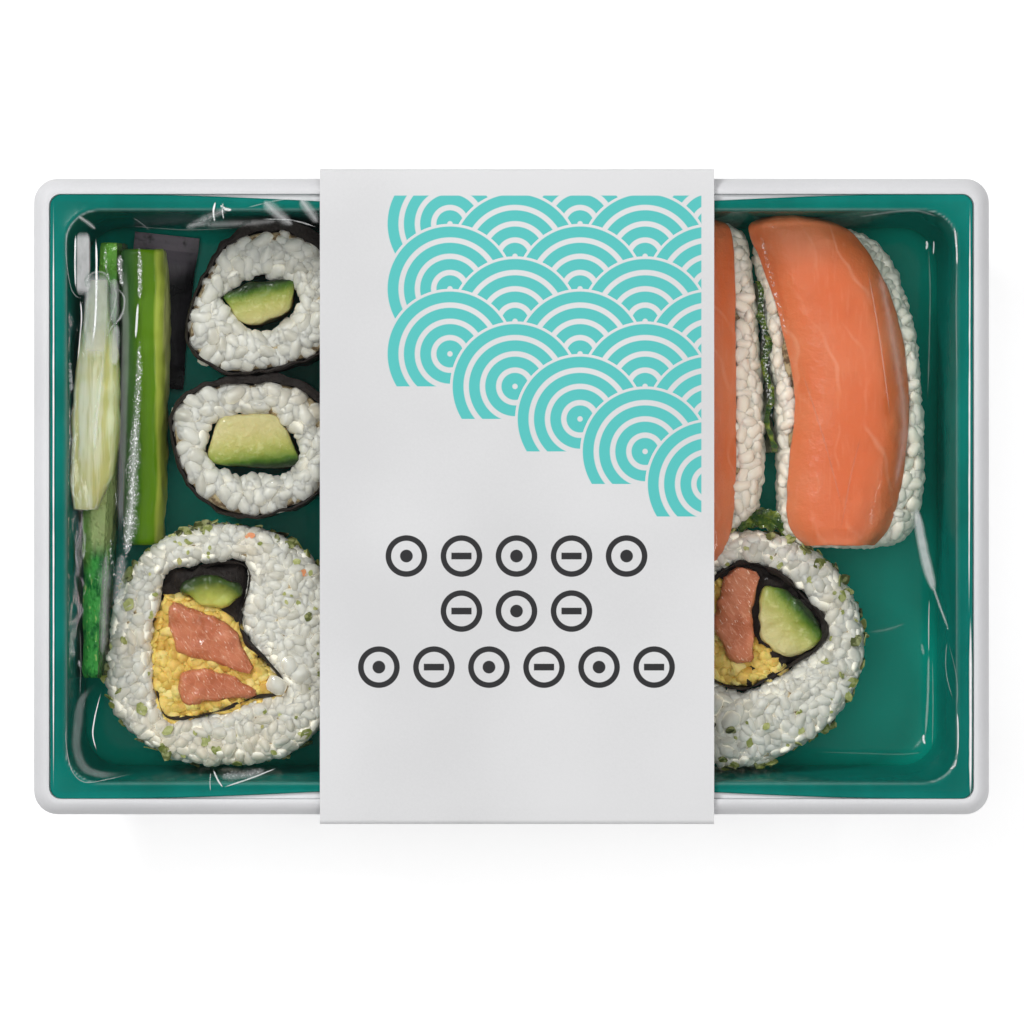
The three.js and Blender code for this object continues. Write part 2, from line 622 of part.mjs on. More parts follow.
// The room that a nigiri takes in a roll it leans on, cut straight down from above.
function nigiriRoom({ slab, pad }) {
  const room = ({ left, right }, gap, low) => {
    const outline = grown([...left, ...right.toReversed()], gap);
    return prism(outline, [0, 0], low, NIGIRI_TOP + 10, 60);
  };
  const under = NIGIRI_TOP - slab.fall.sides - slab.thickness - 1.6;
  return room(slab, 0.5, under).add(room(pad, 2.9, FOOD_Z - 1));
}

function leafBody(grow = 0) {
  const rings = Array.from({ length: 15 }, (_, i) => {
    const { x, y } = pointAlong(LEAF.line, i / 14);
    const half = LEAF.thickness / 2 + grow;
    const top = FOOD_Z + LEAF.height + LEAF.tooth * (i % 2) + grow;
    const end = grow * (i === 0 ? 1 : i === 14 ? -1 : 0);
    return [[half, FOOD_Z], [half, top], [-half, top], [-half, FOOD_Z]].map(
      ([across, z]) => new THREE.Vector3(x + across, y + end, z),
    );
  });
  return solid(loft(rings));
}

function nigiri(piece, seed) {
  const pad = join([padBody(piece), ...padGrains(piece, random(seed))]);
  const rice = pad.subtract(overSlab(piece)).subtract(leafBody(FIT));
  return [
    food(`${piece.name}_rice`, rice, COLOURS.rice),
    food(`${piece.name}_salmon`, slabBody(piece), COLOURS.salmon, 0.35),
  ];
}

// ---------------------------------------------------------------- cucumber and sachet

function batonBody({ back, front, z, section }, grow = 0) {
  const bulge = [0, 0.35, 0.1, -0.15, 0.2, 0];
  const rings = bulge.map((sway, i) => {
    const t = i / (bulge.length - 1);
    const x = back[0] + (front[0] - back[0]) * t + sway;
    const y = back[1] + grow + (front[1] - back[1] - 2 * grow) * t;
    const under = z[0] + (z[1] - z[0]) * t;
    return grown(section, grow).map(([sx, sz]) => new THREE.Vector3(x + sx, y, under + sz));
  });
  return solid(loft(rings));
}

function sachetBody() {
  const { centre, length, width, thickness, crimp, turn } = SACHET;
  const half = length / 2;
  const stations = [
    [half, 0.04], [half - crimp, 0.06], [half - crimp - 1.6, 0.62], [half - crimp - 5, 1],
    [-half + crimp + 5, 1], [-half + crimp + 1.6, 0.62], [-half + crimp, 0.06], [-half, 0.04],
  ];
  const middle = FOOD_Z + thickness / 2;
  const rings = stations.map(([y, full]) =>
    Array.from({ length: 14 }, (_, k) => {
      const angle = (2 * Math.PI * k) / 14;
      const x = (width / 2) * Math.sign(Math.cos(angle)) * Math.abs(Math.cos(angle)) ** 0.7;
      return new THREE.Vector3(x, y, (thickness / 2) * full * Math.sin(angle));
    }),
  );
  return solid(loft(rings).rotateZ(turn).translate(centre[0], centre[1], middle));
}

// ---------------------------------------------------------------- the whole tray

const tray = new THREE.Group();
tray.name = "sushi_tray";
tray.add(
  node("board_tray", boardTray(), COLOURS.board, 0.55),
  node("liner_tray", linerTray(), COLOURS.liner, 0.3),
  node("lid_film", filmSheet(), COLOURS.film, 0.05),
  node("card_sleeve", cardSleeve(), COLOURS.card, 0.7),
);
SMALL_ROLLS.forEach((roll, i) => tray.add(...smallRoll(roll, SEED + i)));
const batons = [SKIN_BATON, FLESH_BATON, LONG_BATON];
tray.add(...largeRoll(LEFT_ROLL, SEED + 10, batons.map((baton) => batonBody(baton, FIT))));
tray.add(...largeRoll(RIGHT_ROLL, SEED + 11, NIGIRI.map(nigiriRoom)));
NIGIRI.forEach((piece, i) => tray.add(...nigiri(piece, SEED + 20 + i)));
tray.add(food("leaf_divider", leafBody(), COLOURS.skin, 0.4));
for (const baton of batons) {
  const colour = baton === FLESH_BATON ? COLOURS.flesh : COLOURS.skin;
  tray.add(food(baton.name, batonBody(baton), colour, 0.35));
}
tray.add(food("sauce_sachet", sachetBody(), COLOURS.sachet, 0.25));

export default tray;
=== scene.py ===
"""Dresses the takeaway sushi tray: board tray, teal liner, clear film, card sleeve and the food in it.

Shapes are worked out in millimetres, in the tray's own frame, and become metres when a piece is finished.
"""

import math

import bmesh
import bpy
import numpy as np
from bpy.props import FloatProperty, FloatVectorProperty, IntProperty, PointerProperty
from mathutils import Matrix, Vector, noise
from mathutils.bvhtree import BVHTree


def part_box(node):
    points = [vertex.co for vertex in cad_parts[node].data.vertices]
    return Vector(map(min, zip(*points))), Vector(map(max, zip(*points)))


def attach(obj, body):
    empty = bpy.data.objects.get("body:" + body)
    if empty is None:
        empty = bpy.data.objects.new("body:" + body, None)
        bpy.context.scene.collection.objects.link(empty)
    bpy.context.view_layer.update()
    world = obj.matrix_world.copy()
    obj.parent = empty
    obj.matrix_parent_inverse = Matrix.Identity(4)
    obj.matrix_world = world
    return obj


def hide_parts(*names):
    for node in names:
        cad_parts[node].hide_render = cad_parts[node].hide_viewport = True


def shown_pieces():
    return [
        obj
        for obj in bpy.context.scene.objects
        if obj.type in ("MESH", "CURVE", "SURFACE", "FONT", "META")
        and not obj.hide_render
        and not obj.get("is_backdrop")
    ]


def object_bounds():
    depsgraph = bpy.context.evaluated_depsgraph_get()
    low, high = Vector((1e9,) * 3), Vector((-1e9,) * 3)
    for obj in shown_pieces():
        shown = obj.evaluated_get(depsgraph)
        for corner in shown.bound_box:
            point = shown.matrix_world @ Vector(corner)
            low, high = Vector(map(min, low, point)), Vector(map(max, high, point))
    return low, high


bl_info = {
    "name": "Takeaway sushi tray",
    "version": (1, 0, 0),
    "blender": (4, 5, 0),
    "location": "3D View > Sidebar > Sushi tray",
    "description": "Makes the trays, film, sleeve, rolls, nigiri and cucumber of a takeaway sushi tray",
    "category": "Object",
}

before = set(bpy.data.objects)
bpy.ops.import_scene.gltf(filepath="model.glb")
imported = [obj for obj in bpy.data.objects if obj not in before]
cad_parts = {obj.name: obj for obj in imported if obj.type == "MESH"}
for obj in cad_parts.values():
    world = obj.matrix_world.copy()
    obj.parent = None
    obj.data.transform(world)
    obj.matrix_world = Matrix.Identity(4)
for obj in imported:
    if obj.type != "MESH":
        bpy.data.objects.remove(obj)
CAD_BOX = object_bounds()
MM = 0.001  # metres


def box_mm(node):
    """The lowest and the highest corner of a node, in millimetres."""
    low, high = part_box(node)
    return low / MM, high / MM


RIM_LOW, RIM_HIGH = box_mm("board_tray")
LINER_LOW, LINER_HIGH = box_mm("liner_tray")
SLEEVE_LOW, SLEEVE_HIGH = box_mm("card_sleeve")
FOOD_Z = box_mm("left_roll_rice")[0].z
FLANGE_Z = LINER_HIGH.z
FILM_TOP = box_mm("lid_film")[1].z
NIGIRI_TOP = box_mm("right_nigiri_salmon")[1].z

# Half lengths and half widths of the board's rim, and of the liner's flange, opening, wall foot and floor
RIM = RIM_HIGH.xy
FLANGE = LINER_HIGH.xy
MOUTH = (88.9, 57.0)
WALL_FOOT = (86.9, 55.0)
FLOOR_EDGE = (85.5, 53.6)
MOUTH_CORNER = 6.5
FLANGE_BOW = 2.6  # how far the flange's long edges come in beside the sleeve
ABOVE = 60.0  # a height clear above everything
DOWN = Vector((0, 0, -1))
FINEST = 1000  # steps in a millimetre when points are put in order
FARTHEST = 100 * FINEST  # steps from the middle to beyond every point

# Outlines and holes are radii about a centre, from +X round to the left. Fillings are points about it.
# The seaweed is thicker by "folded" where it overlaps, and the cucumber's skin lies in direction "skin".
SMALL_ROLLS = {
    "back_small_roll": {
        "centre": (-49.9, 39.2),
        "outline": (16.6, 16.6, 16.6, 15.5, 14.2, 13.0, 14.4, 17.4, 16.4, 14.2, 14.4, 16.4),
        "hole": (6.7, 7.2, 5.4, 5.0, 5.3, 6.6, 8.3, 6.5, 6.0, 6.0, 5.4, 6.2),
        "cucumber": (
            (-7.9, 1.1), (-5.6, 2.6), (-2.6, 3.8), (2.0, 4.2), (6.1, 4.4), (6.0, 2.1), (5.0, -1.8),
            (1.6, -3.5), (-2.4, -4.8), (-4.4, -4.0), (-5.9, -2.7), (-7.2, -0.4),
        ),
        "skin": (-0.2, 0.98),
        "folded": 1.0,
    },
    "front_small_roll": {
        "centre": (-52.3, 9.1),
        "outline": (16.8, 17.4, 16.2, 14.4, 15.8, 17.8, 15.6, 14.4, 13.8, 13.4, 13.8, 16.2),
        "hole": (9.6, 8.9, 7.6, 7.4, 8.4, 9.8, 8.8, 7.0, 5.2, 4.8, 5.6, 8.6),
        "cucumber": (
            (-7.4, 5.0), (-5.6, 6.9), (-1.0, 7.5), (4.6, 7.4), (6.6, 4.8), (9.0, 0.0), (9.6, -2.3),
            (6.0, -3.3), (-2.0, -3.0), (-8.0, -2.3), (-8.5, 0.4),
        ),
        "skin": (0.12, -0.99),
        "folded": 0.3,
    },
}
# A large roll's hole has a centre of its own. The seaweed in it is "lining" thick and lower towards "bare",
# and the egg lies "sunk" below the rice. "loose" and "seam" are places in the tray, of loose grains and of
# a line without grains. Flakes cover the edge between the two angles of "crust".
LARGE_ROLLS = {
    "left_roll": {
        "centre": (-56.7, -29.2),
        "outline": (24.4, 24.4, 24.2, 24.4, 25.4, 25.4, 25.0, 27.8, 27.0, 25.6, 26.2, 25.4),
        "hole_centre": (-4.6, -0.6),
        "hole": (
            8.8, 8.0, 7.8, 10.5, 17.2, 17.3, 16.0, 15.8, 16.2, 12.8, 11.0, 10.6,
            10.7, 11.0, 12.0, 14.0, 16.6, 15.2, 14.0, 13.6, 13.6, 14.8, 18.0, 12.6,
        ),
        "lining": 0.35,
        "bare": (-1.0, 0.5),
        "sunk": 1.5,
        "loose": ((-44.4, -34.1), (-47.2, -38.0), (-42.6, -35.6)),
        "seam": ((-52.7, -12.6), (-53.1, -7.7), (-52.5, -3.5)),
        "crust": (25, 150),
        "egg": (
            (-15.4, 0), (-14.2, 6), (-12.4, 8.9), (-8, 8.6), (0.4, 4.6), (5.4, -3), (10.2, -7.4),
            (11.6, -9.6), (7.4, -12.4), (-4, -14.4), (-10.6, -16.0), (-13.2, -14.8), (-15.4, -7),
        ),
    },
    "right_roll": {
        "centre": (46.1, -30.6),
        "outline": (25.8, 25.8, 25.2, 24.4, 24.2, 24.2, 24.2, 24.2, 24.2, 24.9, 23.9, 24.9),
        "hole_centre": (0.6, 3.4),
        "hole": (16.6, 14.2, 13.8, 14.0, 12.4, 12.4, 12.8, 12.4, 11.6, 11.6, 10.8, 12.4),
        "lining": 0.5,
        "bare": (0, 0),
        "sunk": 2.3,
        "loose": ((40.6, -42.0), (44.0, -45.2)),
        "seam": ((33, -43), (38, -40), (41, -44)),
        "crust": (-80, 110),
        "egg": ((-10.4, 9), (-3.6, 13.4), (0.4, 4), (7.8, -3), (4.6, -6.4), (-4.6, -6.8), (-10.6, -1)),
    },
}
FILLINGS = {
    "left_roll_avocado": (
        (-10, 10.7), (-7.6, 12.7), (-3.6, 13.3), (0.6, 12.3), (2.2, 11.2), (1.2, 8.4), (-4, 6.9), (-7.6, 8.7),
    ),
    "left_roll_salmon_back": (
        (-12.6, 5.6), (-11.4, 7.5), (-6.7, 6.2), (-0.6, 3.9), (2.1, 0.7),
        (4.3, -4.0), (3.6, -6.3), (-1.7, -4.3), (-9.9, -2.3), (-11.6, 1.2),
    ),
    "left_roll_salmon_front": (
        (-9.9, -6.8), (-7.6, -5.4), (-2.1, -6), (5.6, -10.4), (-2.6, -12), (-9.3, -12.4),
    ),
    "right_roll_salmon": (
        (-2.2, 15.4), (3.2, 15.6), (3.2, 11.0), (2.0, 6.4), (2.8, -1.8), (-1.4, -2.9), (-3.4, 0.2),
        (-5.2, 4.8), (-4.8, 8.4),
    ),
    "right_roll_cucumber": (
        (4.0, 11.2), (5.4, 12.4), (9.8, 11.2), (14.3, 7.2), (16.6, 3.5), (15.8, 1.0), (9.6, -1.6),
        (4.4, 2.2), (4.0, 6.0),
    ),
}
# A nigiri's salmon and its rice each have a left and a right edge, from back to front. "fall" is how far the
# slice bends down at its sides, its back end and its front end.
NIGIRI = {
    "right_nigiri": {
        "slab": {
            "left": (
                (52.4, 56.7), (47.7, 54.2), (50.4, 46.5), (54, 35.5), (57, 20), (55.7, 6), (55.6, -5),
                (58.8, -9.8),
            ),
            "right": (
                (58.4, 56.7), (67, 54.2), (73.4, 46.5), (78, 35), (80, 20), (79, 6), (76.6, -5),
                (73, -9.8),
            ),
            "thickness": 3.8,
            "fall": (4.0, 3.4, 0.6),
        },
        "pad": {
            "left": (
                (54, 52.5), (50.2, 49.8), (51.4, 43), (53.2, 30), (54.6, 14), (55, 0), (56, -6.6),
                (60, -8.6),
            ),
            "right": (
                (68.5, 52.5), (73.8, 49.8), (77.8, 43), (81, 30), (82, 14), (82, 0), (79.6, -6.6),
                (73, -8.6),
            ),
        },
    },
    "left_nigiri": {
        "slab": {
            "left": (
                (28.5, 56), (24, 54), (22.4, 47), (21.6, 33), (21.2, 15), (21.6, 0), (23.4, -9),
                (29.5, -14.2),
            ),
            "right": (
                (40, 56), (43.8, 54.2), (44.8, 47), (45.1, 33), (45.2, 15), (45, 0), (43.6, -9),
                (40.3, -14.2),
            ),
            "thickness": 3.6,
            "fall": (4.6, 4.0, 0.4),
        },
        "pad": {
            "left": (
                (27, 54), (21.5, 51.6), (19.6, 41), (18.8, 28), (18.6, 16), (18.8, 4), (20.5, -3),
                (27, -6),
            ),
            "right": ((42, 54), (46.4, 51.6), (48, 41), (49.4, 28), (50.2, 16), (50, 4), (48, -3), (42, -6)),
        },
    },
}
SCRAPS_LINE = ((44.2, -4.4), (47.5, -4.4), (51, -3.9), (54.6, -5.4), (57.4, -7.6))
LEAF_LINE = ((49.6, 43.4), (50.3, 38), (51.4, 33), (51.2, 28), (52.1, 22), (51.9, 16), (52.7, 9))
# Each baton runs from its back end to its front end; "z" is its underside at both, "section" is in X and Z,
# and "sway" and "width" move it sideways and widen it along its length.
BATONS = {
    "cucumber_skin_baton": {
        "back": (-73.9, 49.7),
        "front": (-74.1, -9.7),
        "z": (9.9, 2.9),
        "section": ((-2.8, 0), (2.6, 0), (4.6, 9.4), (3.3, 17.8), (-0.6, 18.9), (-3.7, 17.8), (-4.6, 14.4)),
        "sway": (0, 0.3, 0.1, -0.15, 0, -0.3),
        "width": (0.97, 1.03, 1.03, 1.0, 0.94, 0.86),
    },
    "cucumber_flesh_baton": {
        "back": (-83.2, 43.4),
        "front": (-83.6, -2.6),
        "z": (23.2, 23.2),
        "section": ((-3.2, 0), (3.4, 0), (4.6, 3.0), (3.8, 5.6), (0, 6.4), (-3.9, 5.8), (-4.6, 3.2)),
        "sway": (0.3, 0.2, 0.25, 0.3, 0.1, -0.1, -0.8, -2.0),
        "width": (0.42, 0.58, 0.84, 0.97, 1.04, 1.04, 0.92, 0.56),
    },
    "cucumber_long_baton": {
        "back": (-80.8, 51.2),
        "front": (-83.2, -36.6),
        "z": (2.9, 2.9),
        "section": ((-1.0, 0), (2.6, 0), (2.2, 18.4), (0.2, 19.6), (-2.2, 18.4)),
        "sway": (0, 0.3, -0.2, -1.1, -1.3, -1.3),
        "width": (1.0, 1.0, 1.1, 1.3, 1.05, 0.86),
    },
}


def srgb(red, green, blue):
    """A colour as it shows on a screen, 0 to 255, in linear values."""
    return tuple(((c / 255 + 0.055) / 1.055) ** 2.4 for c in (red, green, blue))


def size(name, description, millimetres):
    """A length setting, given in millimetres."""
    return FloatProperty(name=name, description=description, default=millimetres * MM, unit="LENGTH", min=0)


def wattage(name, description, watts):
    """A lamp's power setting."""
    return FloatProperty(name=name, description=description, default=watts, unit="POWER", min=0)


def tone(name, description, *screen):
    """A colour setting, given as it shows on a screen."""
    return FloatVectorProperty(
        name=name, description=description, default=srgb(*screen), subtype="COLOR", size=3, min=0, max=1
    )


# ---------------- settings


class StageSettings(bpy.types.PropertyGroup):
    """Camera, lights and floor."""

    camera_height: size("Camera height", "Distance from the camera to the tray's rim", 1500)
    view_width: size("View width", "Width that the picture shows at the rim", 204.8)
    key_power: wattage("Key power", "Power of the small softbox behind and to the left", 7.6)
    strip_power: wattage("Strip power", "Power of the narrow light on the right", 1.9)
    overhead_power: wattage("Overhead power", "Power of the large softbox overhead", 18.0)
    fill: FloatProperty(name="Fill", description="Strength of the light from all round", default=0.14, min=0)
    floor: tone("Floor", "Colour of the floor", 190, 190, 190)


class TraySettings(bpy.types.PropertyGroup):
    """The board tray and its plastic liner."""

    board: tone("Board", "Colour of the board tray", 217, 217, 219)
    liner: tone("Liner", "Colour of the plastic liner", 0, 126, 116)
    liner_deep: tone("Liner shade", "Darker tone in the liner's colour", 0, 106, 96)


class FilmSettings(bpy.types.PropertyGroup):
    """The clear film over the food."""

    cell: size("Cell", "Spacing of the film's mesh", 0.5)
    gap: size("Gap", "Clearance between the film and what it covers", 0.35)
    wrinkle: size("Wrinkle", "Height of the film's small wrinkles", 0.05)
    # Strength of the whitening at folds and of the painted highlights and glints on the film.
    fold_white_and_glint: FloatProperty(name="Haze", description="Whiteness of the film's creases", default=1.0, min=0, max=1)
    gloss: FloatProperty(name="Gloss", description="Strength of the film's reflections", default=1.2, min=0)


class SleeveSettings(bpy.types.PropertyGroup):
    """The card sleeve and its print."""

    card: tone("Card", "Colour of the sleeve's card", 217, 217, 218)
    ink: tone("Ink", "Colour of the printed pattern", 82, 192, 188)
    dark_ink: tone("Dark ink", "Colour of the small printed signs", 40, 40, 42)
    arc: size("Arc", "Outer radius of a printed arc", 13)


class RiceSettings(bpy.types.PropertyGroup):
    """Grains of rice."""

    length: size("Length", "Length of a grain", 4.4)
    width: size("Width", "Width of a grain", 2.75)
    spacing: size("Spacing", "Least distance between neighbouring grains", 1.75)
    colour: tone("Colour", "Colour of the grains", 215, 212, 204)
    shade: tone("Shade", "Tone of the more see-through grains", 188, 184, 173)
    # Painted highlight: this lighter colour, and a glow of it, are painted on the grains' lower parts in
    # place of light through them.
    edge: tone("Edge", "Colour of the grains' lit edges", 236, 230, 216)
    # Painted shade: the core that shows between the grains is painted beige, for the shade in the gaps.
    paste: tone("Paste", "Colour of the starch between the grains", 190, 172, 136)
    seed: IntProperty(name="Seed", description="Seed of the grains' places", default=20)


class FoodSettings(bpy.types.PropertyGroup):
    """Colours of the salmon, egg, seaweed, cucumber, avocado, herbs, leaf and sachet."""

    salmon: tone("Salmon", "Main colour of the salmon on the nigiri", 219, 128, 86)
    salmon_fat: tone("Salmon fat", "Colour of the fat lines in the salmon", 234, 172, 140)
    cured_salmon: tone("Roll salmon", "Colour of the salmon in the large rolls", 200, 124, 90)
    egg: tone("Egg", "Colour of the egg", 238, 206, 118)
    nori: tone("Nori", "Colour of the seaweed sheet", 20, 17, 19)
    skin: tone("Cucumber skin", "Colour of the band beside the cucumber's skin", 96, 138, 0)
    flesh: tone("Cucumber flesh", "Palest colour of the cucumber's flesh", 255, 244, 216)
    cut: tone("Cut cucumber", "Middle colour of the cucumber in the rolls", 182, 176, 98)
    bumpy_skin: tone("Bumpy skin", "Lighter colour of the long baton's skin", 74, 174, 76)
    avocado: tone("Avocado", "Colour of the avocado", 178, 180, 84)
    herb: tone("Herb", "Colour of the green flakes", 122, 130, 60)
    leaf: tone("Leaf divider", "Middle colour of the leaf divider", 70, 96, 40)
    sachet: tone("Sachet", "Darkest colour of the sauce sachet", 30, 29, 32)


class TrayProject(bpy.types.PropertyGroup):
    """All settings of the tray."""

    stage: PointerProperty(type=StageSettings, name="Stage", description="Camera, lights and floor")
    trays: PointerProperty(type=TraySettings, name="Trays", description="Board tray and liner")
    film: PointerProperty(type=FilmSettings, name="Film", description="Clear film")
    sleeve: PointerProperty(type=SleeveSettings, name="Sleeve", description="Card sleeve")
    rice: PointerProperty(type=RiceSettings, name="Rice", description="Grains of rice")
    food: PointerProperty(type=FoodSettings, name="Food", description="Colours of the food")


# ---------------- shader writing


class Wire:
    """One output socket. Arithmetic on it adds Math nodes."""

    def __init__(self, paint, socket):
        self.paint = paint
        self.socket = socket

    def maths(self, operation, *others):
        """What a Math node makes of this and the others."""
        return self.paint.node("Math", {"operation": operation}, dict(enumerate((self, *others))))

    def __add__(self, other):
        return self.maths("ADD", other)

    def __sub__(self, other):
        return self.maths("SUBTRACT", other)

    def __rsub__(self, other):
        return self * -1 + other

    def __mul__(self, other):
        return self.maths("MULTIPLY", other)

    def __truediv__(self, other):
        return self.maths("DIVIDE", other)

    def __abs__(self):
        return self.maths("ABSOLUTE")

    def __pow__(self, power):
        return self.maths("POWER", power)

    __radd__ = __add__
    __rmul__ = __mul__


class Paint:
    """A material's node tree. Its place is the object's own coordinates, in millimetres."""

    def __init__(self, name):
        self.material = bpy.data.materials.new(name)
        self.material.use_nodes = True
        self.tree = self.material.node_tree
        self.tree.nodes.clear()
        here = self.node("TexCoord", output="Object")
        self.place = self.node("Mapping", inputs={"Vector": here, "Scale": (1 / MM,) * 3})
        self.x, self.y, self.z = (
            self.node("SeparateXYZ", inputs={0: self.place}, output=axis) for axis in range(3)
        )

    def node(self, kind, settings=None, inputs=None, output=0):
        """Adds a node: its settings first, then a value or a link for each of its sockets."""
        made = self.tree.nodes.new("ShaderNode" + kind)
        for key, value in (settings or {}).items():
            if key == "stops":
                self.set_stops(made.color_ramp.elements, value)
            else:
                setattr(made, key, value)
        for key, value in (inputs or {}).items():
            socket = made.inputs[key]
            if isinstance(value, Wire):
                self.tree.links.new(value.socket, socket)
            elif socket.type == "RGBA":
                socket.default_value = (*value[:3], 1)
            else:
                socket.default_value = value
        return Wire(self, made.outputs[output])

    @staticmethod
    def set_stops(elements, stops):
        """Gives a ramp its stops, each a place and a colour."""
        for _ in stops[2:]:
            elements.new(0.5)
        for element, (place, colour) in zip(elements, stops):
            element.position = place
            element.color = (*colour[:3], 1)

    def scaled(self, *scale):
        """The place for a pattern that is coarser along an axis with a scale below 1."""
        return self.node("Mapping", inputs={"Vector": self.place, "Scale": scale})

    def stretched(self, angle, along, across):
        """The place for a pattern drawn out along a direction in the tray's plane."""
        inputs = {"Vector": self.place, "Rotation": (0, 0, angle), "Scale": (along, across, 1)}
        return self.node("Mapping", {"vector_type": "TEXTURE"}, inputs)

    def noise(self, scale, place=None, detail=2.0, roughness=0.5):
        """Noise of about 0 to 1, with so many features to a millimetre."""
        inputs = {"Vector": place or self.place, "Scale": scale, "Detail": detail, "Roughness": roughness}
        return self.node("TexNoise", inputs=inputs)

    def cells(self, scale, place=None, feature="F1"):
        """Distance in a pattern of cells, with so many to a millimetre."""
        inputs = {"Vector": place or self.place, "Scale": scale}
        return self.node("TexVoronoi", {"feature": feature}, inputs, output="Distance")

    def step(self, value, start, end):
        """0 where the value is at the start, 1 where it is at the end, smooth between."""
        return self.node("MapRange", {"interpolation_type": "SMOOTHSTEP"}, {0: value, 1: start, 2: end})

    def mix(self, factor, first, second):
        """The first colour at a factor of 0, the second at 1."""
        return self.node("Mix", {"data_type": "RGBA"}, {0: factor, 6: first, 7: second}, output=2)

    def ramp(self, value, *stops):
        """A colour for a value of 0 to 1, from stops of a place and its colour."""
        return self.node("ValToRGB", {"stops": stops}, {0: value})

    def carried(self, name):
        """A value that the mesh's points carry."""
        return self.node("Attribute", {"attribute_name": name}, output="Fac")

    def tint(self):
        """The tint of each small copy, 0 to 1."""
        return self.carried("tint")

    def below(self):
        """How low a point is on its small copy: 0 at the top, 1 underneath."""
        return self.carried("below")

    def bump(self, height, distance, strength=1.0):
        """A normal from a height of 0 to 1, for a relief so many millimetres deep."""
        return self.node("Bump", inputs={"Height": height, "Distance": distance * MM, "Strength": strength})

    def surface(self, colour, roughness, **sockets):
        """The main shader on the material's output. Socket names have _ for their spaces."""
        inputs = {"Base Color": colour, "Roughness": roughness}
        inputs.update({key.replace("_", " "): value for key, value in sockets.items()})
        return self.finish(self.node("BsdfPrincipled", inputs=inputs))

    def finish(self, shader):
        """Joins the shader to the material's output."""
        self.node("OutputMaterial", inputs={"Surface": shader}, output=slice(None))
        return self.material


# ---------------- shapes


def curve(a, b, c, d, t):
    """A smooth curve through four values, at a share t of the way from the second to the third."""
    return b + 0.5 * t * (c - a + t * (2 * a - 5 * b + 4 * c - d + t * (3 * (b - c) + d - a)))


def radius_at(radii, angle):
    """The radius at an angle, on a smooth closed line through evenly spaced radii."""
    place = (angle / math.tau % 1) * len(radii)
    first = int(place)
    return curve(*(radii[(first + k - 1) % len(radii)] for k in range(4)), place - first)


def smooth_point(points, share, closed=False):
    """The point at a share of a smooth line through the points."""
    count = len(points)
    place = share % 1 * count if closed else min(max(share, 0), 1) * (count - 1)
    first = int(place) if closed else min(int(place), count - 2)
    pick = (lambda k: k % count) if closed else (lambda k: min(max(k, 0), count - 1))
    return curve(*(Vector(points[pick(first + k - 1)]) for k in range(4)), place - first)


def reach_of(points):
    """The middle of a closed outline, and a function for its radius about that middle at an angle."""
    outline = [smooth_point(points, k / 96, closed=True) for k in range(96)]
    middle = sum(outline, Vector((0, 0))) / len(outline)
    spokes = sorted((math.atan2(p.y - middle.y, p.x - middle.x), (p - middle).length) for p in outline)
    angles, radii = zip(*spokes)
    return middle, lambda angle: float(np.interp(angle, angles, radii, period=math.tau))


def in_tray(roll, points):
    """The middle of a filling's outline, in the tray, and the outline's reach about it."""
    middle, reach = reach_of(points)
    return (roll["centre"][0] + middle.x, roll["centre"][1] + middle.y), reach


def between(edges, share, across):
    """A point between a left and a right edge; across runs from -1 to 1."""
    left = smooth_point(edges["left"], share)
    right = smooth_point(edges["right"], share)
    return left.lerp(right, (across + 1) / 2)


def fullness(share, power):
    """How full a piece is at a share of its length: whole in the middle, rounding off at both ends."""
    return max(0, 1 - abs(2 * share - 1) ** power) ** 0.5


def rank(place):
    """One number for a place, the same on each run, to a thousandth of a millimetre."""
    x, y, z = (round(value * FINEST) + FARTHEST for value in place)
    return float((x * 2 * FARTHEST + y) * 2 * FARTHEST + z)


def in_order(bm):
    """Sorts points and faces by their places, because spinning and extruding leave them in any order."""
    bm.verts.sort(key=lambda v: rank(v.co))
    bm.faces.sort(key=lambda f: rank(f.calc_center_median()))
    bm.verts.index_update()
    bm.faces.index_update()
    return bm


def turned(profile, steps=96, closed=False):
    """A profile of shares and heights spun round Z. The share is the radius until shaped() is called."""
    bm = bmesh.new()
    spots = [bm.verts.new((share, 0, z)) for share, z in profile]
    pairs = list(zip(spots, spots[1:] + spots[:1])) if closed else list(zip(spots, spots[1:]))
    edges = [bm.edges.new(pair) for pair in pairs]
    bmesh.ops.spin(
        bm, geom=spots + edges, cent=(0, 0, 0), axis=(0, 0, 1), angle=math.tau, steps=steps, use_merge=True
    )
    bmesh.ops.remove_doubles(bm, verts=bm.verts, dist=1e-4)
    bmesh.ops.recalc_face_normals(bm, faces=bm.faces)
    return in_order(bm)


def shaped(bm, centre, outer, inner=None):
    """Gives a turned body its outline. Round a hole, its shares run from 1 at the hole to 2 outside."""
    for v in bm.verts:
        share = math.hypot(v.co.x, v.co.y)
        angle = math.atan2(v.co.y, v.co.x)
        if inner:
            near = inner(angle)
            radius = near + (outer(angle) - near) * (share - 1)
        else:
            radius = outer(angle) * share
        v.co.x = centre[0] + radius * math.cos(angle)
        v.co.y = centre[1] + radius * math.sin(angle)
    return bm


def loaf(cuts, shape):
    """A cube cut so many times along each axis, then moulded: shape takes shares from -1 to 1."""
    bm = bmesh.new()
    bmesh.ops.create_cube(bm, size=2)
    for axis, count in enumerate(cuts):
        along = [e for e in bm.edges if abs(e.verts[0].co[axis] - e.verts[1].co[axis]) > 1e-4]
        if count:
            bmesh.ops.subdivide_edges(bm, edges=along, cuts=count, use_grid_fill=True)
    for v in bm.verts:
        v.co = shape(*v.co)
    bmesh.ops.recalc_face_normals(bm, faces=bm.faces)
    return bm


def roughened(bm, height, scale, seed):
    """Moves the surface in and out by noise of that height and so many features to a millimetre."""
    bm.normal_update()
    shift = Vector((seed * 7.3, seed * 3.1, seed * 1.7))
    moves = [noise.noise(v.co * scale + shift) * height for v in bm.verts]
    for v, move in zip(bm.verts, moves):
        v.co += v.normal * move
    return bm


